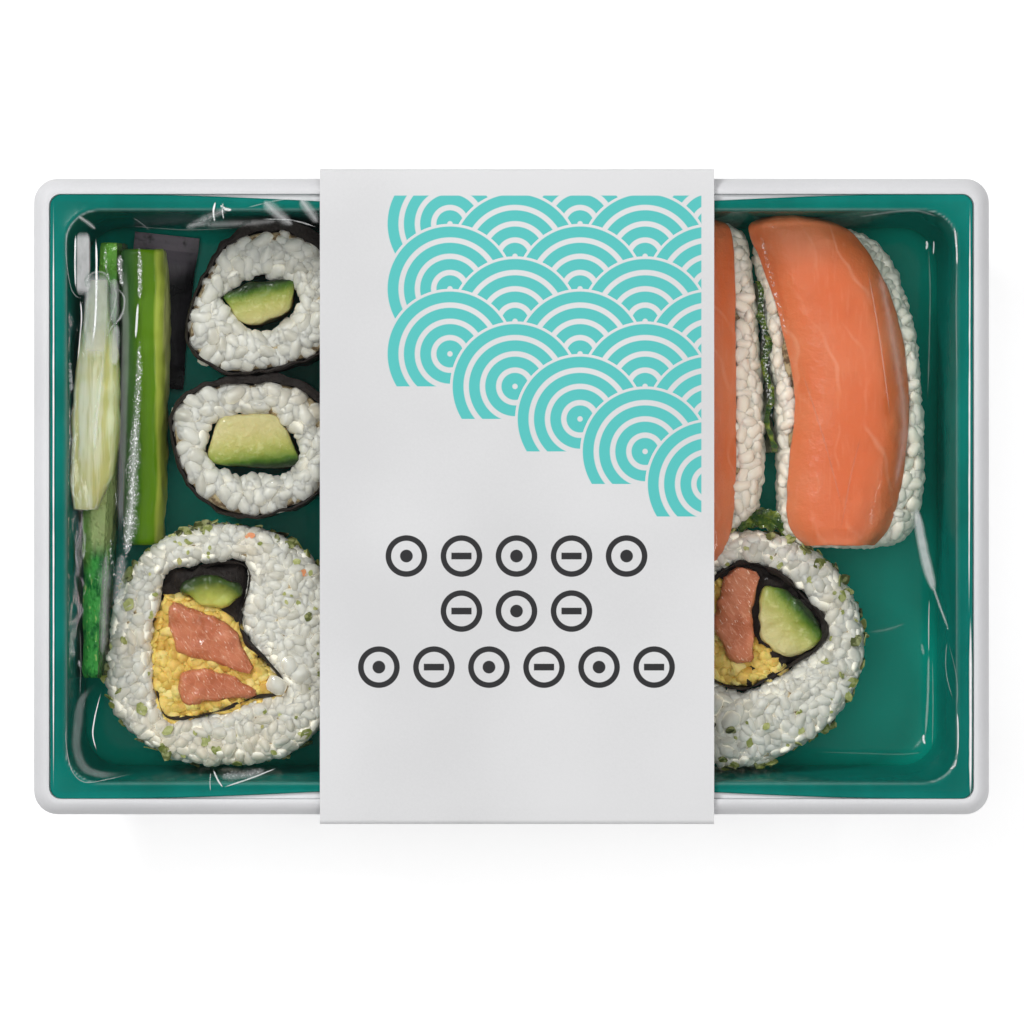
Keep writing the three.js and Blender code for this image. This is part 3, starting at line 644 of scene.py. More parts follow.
def rounded_line(half_x, half_y, corner):
    """Points round a rectangle with rounded corners, anticlockwise, evenly spread on each side."""
    points = []
    for k, (sx, sy) in enumerate(((1, 1), (-1, 1), (-1, -1), (1, -1))):
        centre = Vector((sx * (half_x - corner), sy * (half_y - corner)))
        turns = [math.pi / 2 * (k + step / 8) for step in range(9)]
        points.append([centre + Vector((math.cos(t), math.sin(t))) * corner for t in turns])
    line = []
    for here, ahead, cuts in zip(points, points[1:] + points[:1], (40, 24, 40, 24)):
        line += here
        line += [here[-1].lerp(ahead[0], step / cuts) for step in range(1, cuts)]
    return line


def rounded_ring(bm, half_x, half_y, corner, z, bow=0.0):
    """A ring of edges: a rectangle with rounded corners, whose long sides may bow inwards."""
    line = rounded_line(half_x, half_y, corner)
    ring = bmesh.ops.create_circle(bm, segments=len(line), radius=1)["verts"]
    for v, (x, y) in zip(ring, line):
        along = min(1, abs(x) / (half_x - corner))
        v.co = (x, y - math.copysign(bow * (1 - along**2) ** 3, y), z)
    return list(dict.fromkeys(e for v in ring for e in v.link_edges))


def shell(rings):
    """A closed shell through rings.

    A ring has a half length and half width, how far outside them it runs, its corner, its height and its bow.
    """
    bm = bmesh.new()
    made = [rounded_ring(bm, x + out, y + out, *rest) for (x, y), out, *rest in rings]
    for near, far in zip(made, made[1:]):
        bmesh.ops.bridge_loops(bm, edges=near + far)
    bmesh.ops.holes_fill(bm, edges=made[0], sides=0)
    bmesh.ops.holes_fill(bm, edges=made[-1], sides=0)
    bmesh.ops.recalc_face_normals(bm, faces=bm.faces)
    return bm


def finished(name, bm, material, slot, *stands_for, sharp=40):
    """Makes a piece of the tray from a finished shape in millimetres."""
    mesh = bpy.data.meshes.new(name)
    bm.transform(Matrix.Scale(MM, 4))
    bm.to_mesh(mesh)
    bm.free()
    mesh.shade_smooth()
    mesh.set_sharp_from_angle(angle=math.radians(sharp))
    mesh.materials.append(material)
    made = bpy.data.objects.new(name, mesh)
    bpy.context.scene.collection.objects.link(made)
    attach(made, "root")
    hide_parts(*stands_for)
    return made


def sown(bm, spacing, seed, keep):
    """Spots on a surface no closer to each other than the spacing, with the surface's normals there."""
    draw = np.random.default_rng(seed)
    corners = np.array([[loop.vert.co for loop in tri] for tri in bm.calc_loop_triangles()])
    across = np.cross(corners[:, 1] - corners[:, 0], corners[:, 2] - corners[:, 0])
    double = np.linalg.norm(across, axis=1)
    count = int(double.sum() / 2 / spacing**2 * 5)  # five tries for each spot that may fit
    picked = draw.choice(len(corners), count, p=double / double.sum())
    a, b = draw.random((2, count, 1))
    flip = a + b > 1
    a, b = np.where(flip, 1 - a, a), np.where(flip, 1 - b, b)
    base = corners[picked]
    spots = base[:, 0] + a * (base[:, 1] - base[:, 0]) + b * (base[:, 2] - base[:, 0])
    normals = across[picked] / double[picked, None]
    taken, chosen = {}, []
    for k, (spot, normal) in enumerate(zip(spots, normals)):
        if not keep(spot, normal):
            continue
        cell = tuple(np.floor(spot / spacing).astype(int))
        near = [
            other
            for dx in (-1, 0, 1)
            for dy in (-1, 0, 1)
            for dz in (-1, 0, 1)
            for other in taken.get((cell[0] + dx, cell[1] + dy, cell[2] + dz), ())
        ]
        if all(sum((spot - other) ** 2) > spacing**2 for other in near):
            taken.setdefault(cell, []).append(spot)
            chosen.append(k)
    return spots[chosen], normals[chosen]


def frames_at(spots, normals, sizes, tilt, vary, draw):
    """A matrix for each spot: lying on the surface, turned at random, tilted a little and varied in size."""
    count = len(spots)
    lie = np.cross(normals, draw.normal(size=(count, 3)))
    lie += normals * draw.uniform(-tilt, tilt, (count, 1)) * np.linalg.norm(lie, axis=1, keepdims=True)
    lie /= np.linalg.norm(lie, axis=1, keepdims=True)
    side = np.cross(normals, lie)
    side /= np.linalg.norm(side, axis=1, keepdims=True)
    up = np.cross(lie, side)
    scale = 1 + draw.uniform(-vary, vary, (count, 3))
    frames = np.zeros((count, 3, 4))
    for k, axis in enumerate((lie, side, up)):
        frames[:, :, k] = axis * (sizes[k] / 2 * scale[:, k])[:, None]
    frames[:, :, 3] = spots
    return frames


def joined_copies(template, frames, tints):
    """Copies of a small shape as one bmesh. Points carry their copy's tint and how low they are on it."""
    template.verts.ensure_lookup_table()
    points = np.array([v.co for v in template.verts])
    faces = [[v.index for v in f.verts] for f in template.faces]
    corners = np.concatenate([np.array(f) for f in faces])
    starts = np.cumsum([0] + [len(f) for f in faces[:-1]])
    count = len(frames)
    placed = np.einsum("nij,vj->nvi", frames[:, :, :3], points) + frames[:, None, :, 3]
    mesh = bpy.data.meshes.new("copies")
    mesh.vertices.add(count * len(points))
    mesh.vertices.foreach_set("co", placed.ravel())
    mesh.loops.add(count * len(corners))
    loops = corners[None] + np.arange(count)[:, None] * len(points)
    mesh.loops.foreach_set("vertex_index", loops.ravel().astype(np.int32))
    mesh.polygons.add(count * len(faces))
    polygons = starts[None] + np.arange(count)[:, None] * len(corners)
    mesh.polygons.foreach_set("loop_start", polygons.ravel().astype(np.int32))
    mesh.update(calc_edges=True)
    below = np.tile((1 - points[:, 2]) / 2, count)
    for name, values in (("tint", np.repeat(tints, len(points))), ("below", below)):
        layer = mesh.attributes.new(name, "FLOAT", "POINT")
        layer.data.foreach_set("value", values.astype(np.float32))
    bm = bmesh.new()
    bm.from_mesh(mesh)
    bpy.data.meshes.remove(mesh)
    template.free()
    return bm


def merged(first, second):
    """Adds the second shape to the first."""
    mesh = bpy.data.meshes.new("merge")
    second.to_mesh(mesh)
    second.free()
    first.from_mesh(mesh)
    bpy.data.meshes.remove(mesh)
    return first


def grain_shape():
    """One grain of rice, long along X: blunt at both ends, a little bent and uneven."""
    bm = bmesh.new()
    bmesh.ops.create_uvsphere(bm, u_segments=8, v_segments=6, radius=1)
    bmesh.ops.rotate(bm, verts=bm.verts, cent=(0, 0, 0), matrix=Matrix.Rotation(math.pi / 2, 3, "Y"))
    for v in bm.verts:
        along = min(1, abs(v.co.x))
        blunt = ((1 - along**2.8) / max(1e-6, 1 - along**2)) ** 0.5 if along < 0.999 else 1
        v.co.y *= blunt * (1 - 0.07 * v.co.x)
        v.co.z = v.co.z * blunt * (1 - 0.07 * v.co.x) + 0.1 * v.co.x**2
    return in_order(roughened(bm, 0.3, 0.9, seed=1))


def crumb_shape():
    """A small uneven lump."""
    bm = bmesh.new()
    bmesh.ops.create_uvsphere(bm, u_segments=7, v_segments=5, radius=1)
    return in_order(roughened(bm, 0.5, 1.1, seed=3))


def flake_shape():
    """A small curled chip of leaf."""
    bm = bmesh.new()
    bmesh.ops.create_circle(bm, cap_ends=True, segments=9, radius=1)
    for k, v in enumerate(bm.verts):
        v.co *= (1.0, 0.9, 1.08, 0.92, 1.0, 0.88, 1.06, 0.98, 0.86)[k]
    top = bmesh.ops.extrude_face_region(bm, geom=list(bm.faces))["geom"]
    bmesh.ops.translate(bm, verts=[g for g in top if isinstance(g, bmesh.types.BMVert)], vec=(0, 0, 1))
    for v in bm.verts:
        v.co.z += 0.5 * v.co.x**2 - 0.6
    bmesh.ops.recalc_face_normals(bm, faces=bm.faces)
    return in_order(bm)


def rice_on(core, rice, seed, zones, scale):
    """Rice grains on a core, as one shape with it.

    A zone says where its grains lie, and has layers with a height and a share of the spacing each.
    """
    draw = np.random.default_rng(seed)
    width = rice.width / MM * scale
    sizes = (rice.length / MM * scale, width, width * 0.84)
    shift = Vector((0.37 * seed, 0.11 * seed, 0.5))
    layers = [(keep, height, share) for keep, layers in zones for height, share in layers]
    heap = bmesh.new()
    for k, (keep, height, share) in enumerate(layers):
        def kept(spot, normal):
            """Whether a grain may lie there; noise leaves small gaps."""
            return keep(spot, normal) and noise.noise(Vector(spot) * 0.5 + shift) < 0.27

        spots, normals = sown(core, rice.spacing / MM * share * scale, seed + 50 * k, kept)
        lift = height + draw.uniform(-0.4, 0.2, (len(spots), 1))
        frames = frames_at(spots + normals * lift, normals, sizes, 0.35, 0.2, draw)
        merged(heap, joined_copies(grain_shape(), frames, draw.uniform(0.15, 1, len(spots))))
    return merged(heap, core)


# ---------------- finishes


def toned(colour, share):
    """A colour at a share of its brightness, which may be above 1."""
    return tuple(min(1, c * share) for c in colour)


def rice_paint(rice, light):
    """Rice with a painted lighter colour and a painted glow on the grains' lower parts, standing in for light
    through the grains, and painted shade in the gaps and pits between them.
    """
    paint = Paint("Cooked rice")
    tint = paint.tint()
    cloud = paint.noise(0.35, detail=3)
    warm = paint.step(paint.noise(0.06), 0.5, 0.72)
    grain = paint.mix(paint.step(tint * 0.6 + cloud * 0.6, 0.2, 0.75), rice.shade, rice.colour)
    grain = paint.mix(warm * 0.45, grain, srgb(222, 202, 172))
    # Painted highlight: the grains' lower parts are painted lighter, in place of light through them.
    grain = paint.mix(paint.step(paint.below(), 0.16, 0.5), grain, rice.edge)
    # Painted shade: the core between the grains is beige, with darker brown pits, for the shade in the gaps.
    painted_pit_shade = paint.mix(paint.step(paint.noise(0.9, detail=3), 0.4, 0.62), rice.paste, srgb(112, 92, 70))
    grain = paint.mix(paint.step(tint, 0.1, 0.02), grain, painted_pit_shade)
    relief = paint.bump(paint.noise(1.2, detail=2), 0.05, 0.4)
    # Painted glow: the grains' lower parts give off light, though they are no lamp.
    painted_glow = paint.mix(paint.step(paint.below(), 0.2, 0.6), (0, 0, 0), rice.edge)
    return paint.surface(
        grain,
        0.26 + 0.2 * cloud,
        Normal=relief,
        Subsurface_Weight=0.45,
        Subsurface_Radius=(1.0, 0.95, 0.82),
        Subsurface_Scale=0.0009,
        Emission_Color=painted_glow,
        Emission_Strength=light,
        Sheen_Weight=0.3,
        Sheen_Roughness=0.3,
    )


def nori_paint(food):
    """Nearly black, with a brown mottle and crinkles."""
    paint = Paint("Seaweed sheet")
    mottle = paint.noise(0.5, detail=4, roughness=0.65)
    colour = paint.mix(mottle, food.nori, srgb(50, 42, 38))
    crinkle = paint.noise(0.9, paint.scaled(1, 1, 0.4), detail=4, roughness=0.6)
    return paint.surface(
        colour, 0.4 + 0.3 * mottle, Normal=paint.bump(crinkle, 0.6), Specular_IOR_Level=0.3, Coat_Weight=0.1
    )


def board_paint(trays):
    """Grey board with fibres."""
    paint = Paint("Grey board")
    fibre = paint.noise(2.4, paint.scaled(1, 0.35, 1), detail=4, roughness=0.7)
    cloud = paint.noise(0.03, detail=3)
    patchy = paint.step(cloud * 0.7 + fibre * 0.3, 0.3, 0.7)
    colour = paint.mix(patchy, toned(trays.board, 0.95), toned(trays.board, 1.04))
    return paint.surface(colour, 0.5 + 0.15 * fibre, Normal=paint.bump(fibre, 0.03, 0.6))


def liner_paint(trays):
    """Teal plastic, with painted light making it brighter near the floor."""
    paint = Paint("Teal plastic")
    cloud = paint.noise(0.035, detail=3, roughness=0.6)
    streak = paint.noise(0.3, paint.scaled(1, 0.12, 1), detail=3)
    colour = paint.mix(paint.step(cloud * 0.8 + streak * 0.2, 0.3, 0.72), trays.liner_deep, trays.liner)
    # Painted light: the floor and the foot of the wall are painted a brighter teal.
    colour = paint.mix(paint.step(paint.z, 12, 4) * 0.8, colour, srgb(0, 152, 134))
    relief = paint.bump(paint.noise(0.7, detail=3), 0.05, 0.5)
    return paint.surface(colour, 0.12 + 0.16 * cloud, Normal=relief, Specular_IOR_Level=0.15)


def film_paint(film):
    """Clear, and whitish where the mesh carries a fold or a painted highlight strip, with painted glints
    where it carries them.
    """
    paint = Paint("Clear film")
    ripple = paint.noise(0.5, paint.scaled(1, 0.6, 1), detail=3)
    normal = paint.bump(ripple, 0.07, 0.6)
    crease, glitter = paint.carried("crease"), paint.carried("glitter")
    glint_noise = paint.noise(2.6, paint.scaled(1, 0.75, 1), detail=2, roughness=0.8)
    uneven = 0.65 + 0.7 * paint.noise(0.7, paint.scaled(1, 0.5, 1), detail=4, roughness=0.6)
    # Whitening at folds, painted highlights and reflections, and painted glints in their sparkly parts.
    fold_white_and_glint = crease**2 * uneven + glitter * paint.step(glint_noise, 0.52, 0.66)
    glance = paint.node("Fresnel", inputs={"IOR": 1.3, "Normal": normal}) * film.gloss + fold_white_and_glint * film.fold_white_and_glint
    # Where the whitening and the painted highlights lie, the film turns matte white.
    dull = paint.step(fold_white_and_glint, 0, 0.1)
    shine = paint.node("BsdfPrincipled", inputs={
        "Base Color": (1, 1, 1), "Metallic": 1 - dull, "Roughness": 0.08 + 0.4 * dull, "Normal": normal,
    })
    clear = paint.node("BsdfTransparent", inputs={"Color": srgb(252, 254, 253)})
    return paint.finish(paint.node("MixShader", inputs={0: glance, 1: clear, 2: shine}))


def card_paint(sleeve):
    """Pale card with the print on top and a lap below."""
    paint = Paint("Printed card")
    fibre = paint.noise(1.8, detail=4, roughness=0.7)
    cloud = paint.noise(0.02, detail=2)
    patchy = paint.step(cloud * 0.8 + fibre * 0.2, 0.35, 0.65)
    bare = paint.mix(patchy, toned(sleeve.card, 0.93), toned(sleeve.card, 1.03))
    on_top = paint.step(paint.z, SLEEVE_HIGH.z - 1.0, SLEEVE_HIGH.z - 0.4)
    colour = paint.mix(arcs_mask(paint, sleeve.arc / MM) * on_top, bare, sleeve.ink)
    colour = paint.mix(signs_mask(paint) * on_top, colour, sleeve.dark_ink)
    lap = paint.step(abs(paint.y + 18), 0.25, 0.1) * paint.step(paint.z, 0.6, 0.2)
    colour = paint.mix(lap * 0.5, colour, srgb(150, 150, 150))
    return paint.surface(colour, 0.42 + 0.15 * fibre, Normal=paint.bump(fibre, 0.02, 0.6))


def arcs_mask(paint, radius):
    """Overlapping arcs in staggered rows: whole scales whose lower edge steps down to the right."""
    left, right, high = SLEEVE_LOW.x, SLEEVE_HIGH.x, 60.0
    rise, base = radius / 2, -30.0
    rows = (paint.y - base) / rise
    lowest = (rows - 2).maths("CEIL")
    distance = None
    for order in (2, 1, 0):
        row = lowest + order
        up = (rows - row) * rise
        along = paint.x - left + row.maths("FLOORED_MODULO", 2) * radius
        side = along.maths("FLOORED_MODULO", 2 * radius) - radius
        reach = (side**2 + up**2).maths("SQRT") / radius
        centre = paint.x - side
        fall = centre * 0.55 + row * rise + base
        drawn = reach.maths("LESS_THAN", 1) * fall.maths("GREATER_THAN", 12)
        drawn = drawn * centre.maths("GREATER_THAN", left + 8 + radius)
        distance = drawn * reach + (1 - drawn) * (2 if distance is None else distance)
    lines = paint.step(abs((distance * 4).maths("FRACT") - 0.5), 0.30, 0.37)
    sides = paint.step(paint.x, right - 2.4, right - 2.7) * paint.step(paint.y, high + 0.3, high)
    return (1 - lines) * distance.maths("LESS_THAN", 1) * sides


def signs_mask(paint):
    """Rows of small round roll signs, a dot or a bar in each ring."""
    middle, pitch, ring = 1, 11, 3.6
    mask = None
    for level, count in ((-11.9, 5), (-22.9, 3), (-34.1, 6)):
        half = count * pitch / 2
        place = (paint.x - middle + (count - 1) % 2 * pitch / 2) / pitch
        cell = (place + 0.5).maths("FLOOR")
        side, up = (place - cell) * pitch, paint.y - level
        reach = (side**2 + up**2).maths("SQRT")
        bar = paint.step(abs(up), 0.75, 0.6) * paint.step(abs(side), 2.1, 1.95)
        odd = cell.maths("FLOORED_MODULO", 2)
        inner = odd * bar + (1 - odd) * paint.step(reach, 1.35, 1.2)
        sign = paint.step(abs(reach - ring), 0.62, 0.5).maths("MAXIMUM", inner)
        sign = sign * paint.step(abs(paint.x - middle), half, half - 0.3)
        mask = sign if mask is None else mask.maths("MAXIMUM", sign)
    return mask


def salmon_paint(food):
    """Orange flesh with pale lines of fat."""
    paint = Paint("Raw salmon")
    bend = paint.noise(0.05, detail=2)
    bowed = paint.x + 0.0068 * (paint.y - 10) ** 2 + 0.16 * paint.y
    lines = ((bowed + bend * 22) * 0.13).maths("FRACT")
    fat = paint.step(abs(lines - 0.5), 0.09, 0.0)
    patchy = paint.step(paint.noise(0.09, detail=3), 0.4, 0.7)
    fibre = paint.noise(1.2, paint.scaled(1, 0.14, 1), detail=3)
    flesh = paint.mix(paint.step(paint.noise(0.05, detail=2), 0.35, 0.65), food.salmon, srgb(214, 112, 64))
    flesh = paint.mix(paint.step(fibre, 0.5, 0.8) * 0.25, flesh, srgb(228, 152, 116))
    colour = paint.mix(fat * patchy * 0.4, flesh, food.salmon_fat)
    relief = paint.bump(paint.noise(0.45, detail=4, roughness=0.6), 0.35, 0.8)
    return paint.surface(
        colour,
        0.28 + 0.2 * fibre,
        Normal=relief,
        Subsurface_Weight=0.25,
        Subsurface_Radius=(1.0, 0.35, 0.2),
        Subsurface_Scale=0.002,
        Coat_Weight=0.3,
        Coat_Roughness=0.12,
    )


def chunk_paint(food):
    """Fibrous salmon with pale glints."""
    paint = Paint("Cured salmon")
    along = paint.stretched(-1.0, 2.6, 0.7)
    fibre = paint.noise(1.1, along, detail=4, roughness=0.6)
    cloud = paint.noise(0.25, detail=3)
    flesh = paint.mix(paint.step(cloud, 0.35, 0.65), food.cured_salmon, srgb(180, 102, 68))
    web = paint.cells(0.42, paint.stretched(-0.7, 1.7, 0.7), "DISTANCE_TO_EDGE")
    pale = (paint.step(web, 0.05, 0.0) * 0.5).maths("MAXIMUM", paint.step(fibre, 0.56, 0.66))
    glint = paint.step(paint.noise(2.2, along, detail=3), 0.62, 0.7)
    colour = paint.mix(pale * 0.5, flesh, srgb(224, 168, 136))
    colour = paint.mix(glint * 0.7, colour, srgb(246, 222, 204))
    relief = paint.bump(fibre, 0.35, 0.9)
    return paint.surface(
        colour,
        0.3 + 0.2 * cloud,
        Normal=relief,
        Subsurface_Weight=0.15,
        Subsurface_Scale=0.001,
        Coat_Weight=0.25,
    )


def egg_paint(food):
    """Yellow crumbs, with a painted lighter colour on each crumb's lower part in place of light through it.
    """
    paint = Paint("Egg")
    cloud = paint.noise(0.45, detail=3)
    tint = paint.tint()
    colour = paint.mix(paint.step(cloud * 0.8 + tint * 0.2, 0.3, 0.7), srgb(202, 158, 66), food.egg)
    colour = paint.mix(paint.step(tint, 0.75, 0.95) * 0.5, colour, srgb(246, 226, 160))
    # Painted highlight: each crumb's lower part is painted lighter.
    colour = paint.mix(paint.step(paint.below(), 0.12, 0.5) * 0.8, colour, srgb(250, 218, 120))
    relief = paint.bump(paint.noise(1.4, detail=4, roughness=0.65), 0.25, 0.8)
    return paint.surface(
        colour, 0.35 + 0.2 * cloud, Normal=relief, Subsurface_Weight=0.2, Subsurface_Scale=0.001
    )


def avocado_paint(food):
    """Pale, and dark green towards the skin."""
    paint = Paint("Avocado")
    cloud = paint.noise(0.5, detail=4)
    deep = paint.y + 0.075 * (paint.x + 60.3) ** 2 + 15.7 + cloud * 1.6 - 0.8
    colour = paint.ramp(
        paint.node("MapRange", inputs={0: deep, 1: -7.6, 2: 0.3}),
        (0.0, srgb(206, 196, 104)),
        (0.4, food.avocado),
        (0.62, srgb(128, 134, 46)),
        (0.8, srgb(62, 84, 24)),
        (1.0, srgb(28, 46, 14)),
    )
    return paint.surface(colour, 0.4, Normal=paint.bump(cloud, 0.5, 0.7), Subsurface_Weight=0.1)


def cut_cucumber_paint(food, name, skin_side, middle, reach):
    """Cucumber seen at its cut: skin on one side, paling through green to the seeds."""
    paint = Paint("Cut cucumber " + name)
    towards = (paint.x - middle[0]) * skin_side[0] + (paint.y - middle[1]) * skin_side[1]
    uneven = towards + paint.noise(0.45, detail=3) * 1.4 - 0.7
    colour = paint.ramp(
        paint.node("MapRange", inputs={0: uneven, 1: reach - 8.4, 2: reach - 0.4}),
        (0.0, srgb(204, 188, 132)),
        (0.42, food.cut),
        (0.66, srgb(138, 150, 58)),
        (0.8, srgb(70, 104, 14)),
        (0.93, srgb(20, 44, 4)),
    )
    pulp = paint.noise(0.8, detail=4, roughness=0.6)
    specks = paint.step(pulp, 0.5, 0.7) * paint.step(uneven, reach - 2.4, reach - 4)
    colour = paint.mix(specks * 0.5, colour, srgb(216, 208, 152))
    return paint.surface(
        colour, 0.28 + 0.2 * pulp, Normal=paint.bump(pulp, 0.5, 0.8), Subsurface_Weight=0.15, Coat_Weight=0.3
    )


def skin_baton_paint(food):
    """Skin on the left, a pale cut band on the right."""
    paint = Paint("Cucumber skin and cut")
    wander = paint.noise(0.05, paint.scaled(0, 1, 0), detail=2) * 2.4 - 1.2
    across = paint.x + 74 + wander
    streak = paint.noise(0.7, paint.scaled(1, 0.08, 1), detail=3)
    colour = paint.ramp(
        paint.node("MapRange", inputs={0: across + streak * 0.8 - 0.4, 1: -4.6, 2: 4.8}),
        (0.0, srgb(56, 96, 52)),
        (0.26, srgb(70, 112, 50)),
        (0.38, srgb(72, 116, 14)),
        (0.46, srgb(92, 134, 0)),
        (0.72, food.skin),
        (0.78, srgb(176, 190, 76)),
        (0.92, srgb(186, 202, 84)),
        (0.97, srgb(232, 236, 150)),
    )
    return paint.surface(
        colour, 0.35, Normal=paint.bump(streak, 0.25, 0.6), Specular_IOR_Level=0.25, Coat_Weight=0.1
    )


def flesh_baton_paint(food):
    """Pale streaks, greener at the back and on the right."""
    paint = Paint("Cucumber flesh")
    streak = paint.noise(0.6, paint.scaled(1, 0.06, 1), detail=3)
    cloud = paint.noise(0.12, detail=2)
    colour = paint.mix(paint.step(streak, 0.4, 0.6), srgb(216, 202, 136), food.flesh)
    colour = paint.mix(paint.step(cloud, 0.45, 0.7) * 0.5, colour, srgb(222, 206, 128))
    fine = paint.noise(2.0, paint.scaled(1, 0.05, 1), detail=2)
    colour = paint.mix(paint.step(fine, 0.55, 0.7) * 0.5, colour, srgb(202, 192, 128))
    rind = paint.step(paint.x + 82 + streak * 3, 0, 4) * paint.step(paint.y, -1, 5)
    colour = paint.mix(rind * 0.36, colour, srgb(166, 184, 84))
    colour = paint.mix(paint.step(paint.y + streak * 6, 31, 38) * 0.6, colour, srgb(128, 158, 104))
    return paint.surface(
        colour,
        0.3,
        Normal=paint.bump(streak, 0.35, 0.7),
        Subsurface_Weight=0.2,
        Coat_Weight=0.4,
        Coat_Roughness=0.1,
    )


def long_baton_paint(food):
    """Bumpy green skin with pale streaks and patches."""
    paint = Paint("Bumpy cucumber skin")
    pimples = paint.cells(0.9)
    cloud = paint.noise(0.25, detail=3)
    streak = paint.noise(1.3, paint.scaled(1, 0.3, 1), detail=4, roughness=0.7)
    mottle = paint.step(cloud * 0.5 + streak * 0.5, 0.4, 0.58)
    colour = paint.mix(mottle, srgb(24, 104, 48), food.bumpy_skin)
    colour = paint.mix(paint.step(paint.y, 40, 46) * 0.7, colour, srgb(120, 170, 60))
    colour = paint.mix(paint.step(streak, 0.6, 0.68) * 0.7, colour, srgb(196, 222, 130))
    pale = paint.step(abs(paint.y), 13, 8) * paint.step(paint.x + 84.6 + cloud * 2, -1, 1.4)
    colour = paint.mix(pale * 0.8, colour, srgb(196, 204, 140))
    olive = paint.step(abs(paint.y + 4), 12, 8) * paint.step(paint.x + 84.6, 0.6, -1)
    colour = paint.mix(olive * 0.7, colour, srgb(112, 146, 66))
    height = 1 - paint.step(pimples, 0.0, 0.5)
    relief = paint.bump(height * 0.5 + streak * 0.5, 0.6, 0.9)
    return paint.surface(colour, 0.22, Normal=relief, Coat_Weight=0.4, Coat_Roughness=0.06)


def herb_paint(food):
    """Dark to pale green, with a few orange ones."""
    paint = Paint("Green flakes")
    colour = paint.ramp(
        paint.tint(),
        (0.0, srgb(50, 54, 28)),
        (0.35, food.herb),
        (0.8, srgb(172, 174, 108)),
        (1.0, srgb(222, 142, 96)),
    )
    rings = paint.step(paint.noise(0.9, detail=2), 0.45, 0.6)
    colour = paint.mix(rings * 0.5, colour, srgb(196, 196, 140))
    vein = paint.noise(1.8, detail=3)
    return paint.surface(colour, 0.45, Normal=paint.bump(vein, 0.2))


def leaf_paint(food):
    """A shiny leaf, dark to light green."""
    paint = Paint("Leaf divider")
    cloud = paint.noise(0.4, detail=4, roughness=0.65)
    colour = paint.ramp(cloud, (0.3, srgb(26, 60, 46)), (0.48, food.leaf), (0.62, srgb(120, 138, 52)))
    return paint.surface(colour, 0.2, Normal=paint.bump(cloud, 0.5), Coat_Weight=0.6, Coat_Roughness=0.05)


def sachet_paint(food):
    """Dark foil, with a painted purple-grey sheen at its back end."""
    paint = Paint("Dark sachet")
    cloud = paint.noise(0.2, detail=3)
    colour = paint.mix(paint.step(cloud, 0.35, 0.65), food.sachet, srgb(58, 55, 60))
    # Painted sheen: a purple-grey reflection painted on the sachet's back end.
    painted_sheen = paint.step(paint.y + 3 * cloud - (paint.x + 68) * 0.9, 44, 52)
    colour = paint.mix(painted_sheen * paint.step(paint.noise(0.5, detail=3), 0.2, 0.5), colour, srgb(132, 120, 130))
    creases = paint.noise(0.35, paint.scaled(1, 0.3, 1), detail=3)
    return paint.surface(colour, 0.22 + 0.15 * cloud, Normal=paint.bump(creases, 0.5))


def floor_paint(stage):
    """A pale floor that is lit evenly."""
    paint = Paint("Studio floor")
    cloud = paint.noise(0.01, detail=2)
    colour = paint.mix(cloud, stage.floor, toned(stage.floor, 1.01))
    return paint.surface(colour, 0.6, Emission_Color=(1, 1, 1), Emission_Strength=0.62)


# ---------------- making the pieces


def project():
    """The scene's settings for the tray."""
    return bpy.context.scene.sushi_tray


class SUSHI_OT_stage(bpy.types.Operator):
    """Make the floor, the lights and the camera"""

    bl_idname = "sushi.stage"
    bl_label = "Stage"

    def execute(self, context):
        stage = project().stage
        scene = context.scene
        scene.view_settings.view_transform = "Standard"
        self.make_camera(scene, stage)
        self.make_floor(stage)
        self.make_softbox("Key softbox", (-0.62, 0.55, 1.0), (0.28, 0.28), stage.key_power)
        self.make_softbox("Strip light", (0.95, 0.05, 0.9), (0.9, 0.05), stage.strip_power)
        overhead = self.make_softbox("Overhead softbox", (0, 0, 1.7), (1.6, 1.6), stage.overhead_power)
        overhead.visible_glossy = False
        self.make_surroundings(scene, stage)
        return {"FINISHED"}

    def make_camera(self, scene, stage):
        """The camera straight above, a little in front of the tray's middle."""
        lens = bpy.data.cameras.new("Camera")
        camera = bpy.data.objects.new("Camera", lens)
        lens.sensor_width = 36
        lens.lens = lens.sensor_width * stage.camera_height / stage.view_width
        lens.clip_end = 10
        camera.location = (0.1 * MM, -3.1 * MM, RIM_HIGH.z * MM + stage.camera_height)
        scene.collection.objects.link(camera)
        scene.camera = camera

    def make_floor(self, stage):
        """A pale floor under the tray."""
        bm = bmesh.new()
        bmesh.ops.create_grid(bm, x_segments=8, y_segments=8, size=2)
        mesh = bpy.data.meshes.new("floor")
        bm.to_mesh(mesh)
        bm.free()
        mesh.materials.append(floor_paint(stage))
        floor = bpy.data.objects.new("floor", mesh)
        bpy.context.scene.collection.objects.link(floor)
        floor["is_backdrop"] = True

    def make_softbox(self, name, place, spread, watts):
        """A lamp with a rectangular face, turned to the tray."""
        lamp = bpy.data.lights.new(name, "AREA")
        lamp.shape = "RECTANGLE"
        lamp.size, lamp.size_y = spread
        lamp.energy = watts
        made = bpy.data.objects.new(name, lamp)
        made.location = place
        made.rotation_euler = (-Vector(place)).to_track_quat("-Z", "Y").to_euler()
        bpy.context.scene.collection.objects.link(made)
        return made

    def make_surroundings(self, scene, stage):
        """White light from all round."""
        world = bpy.data.worlds.new("Studio")
        world.use_nodes = True
        backdrop = world.node_tree.nodes["Background"]
        backdrop.inputs["Color"].default_value = (1, 1, 1, 1)
        backdrop.inputs["Strength"].default_value = stage.fill
        scene.world = world


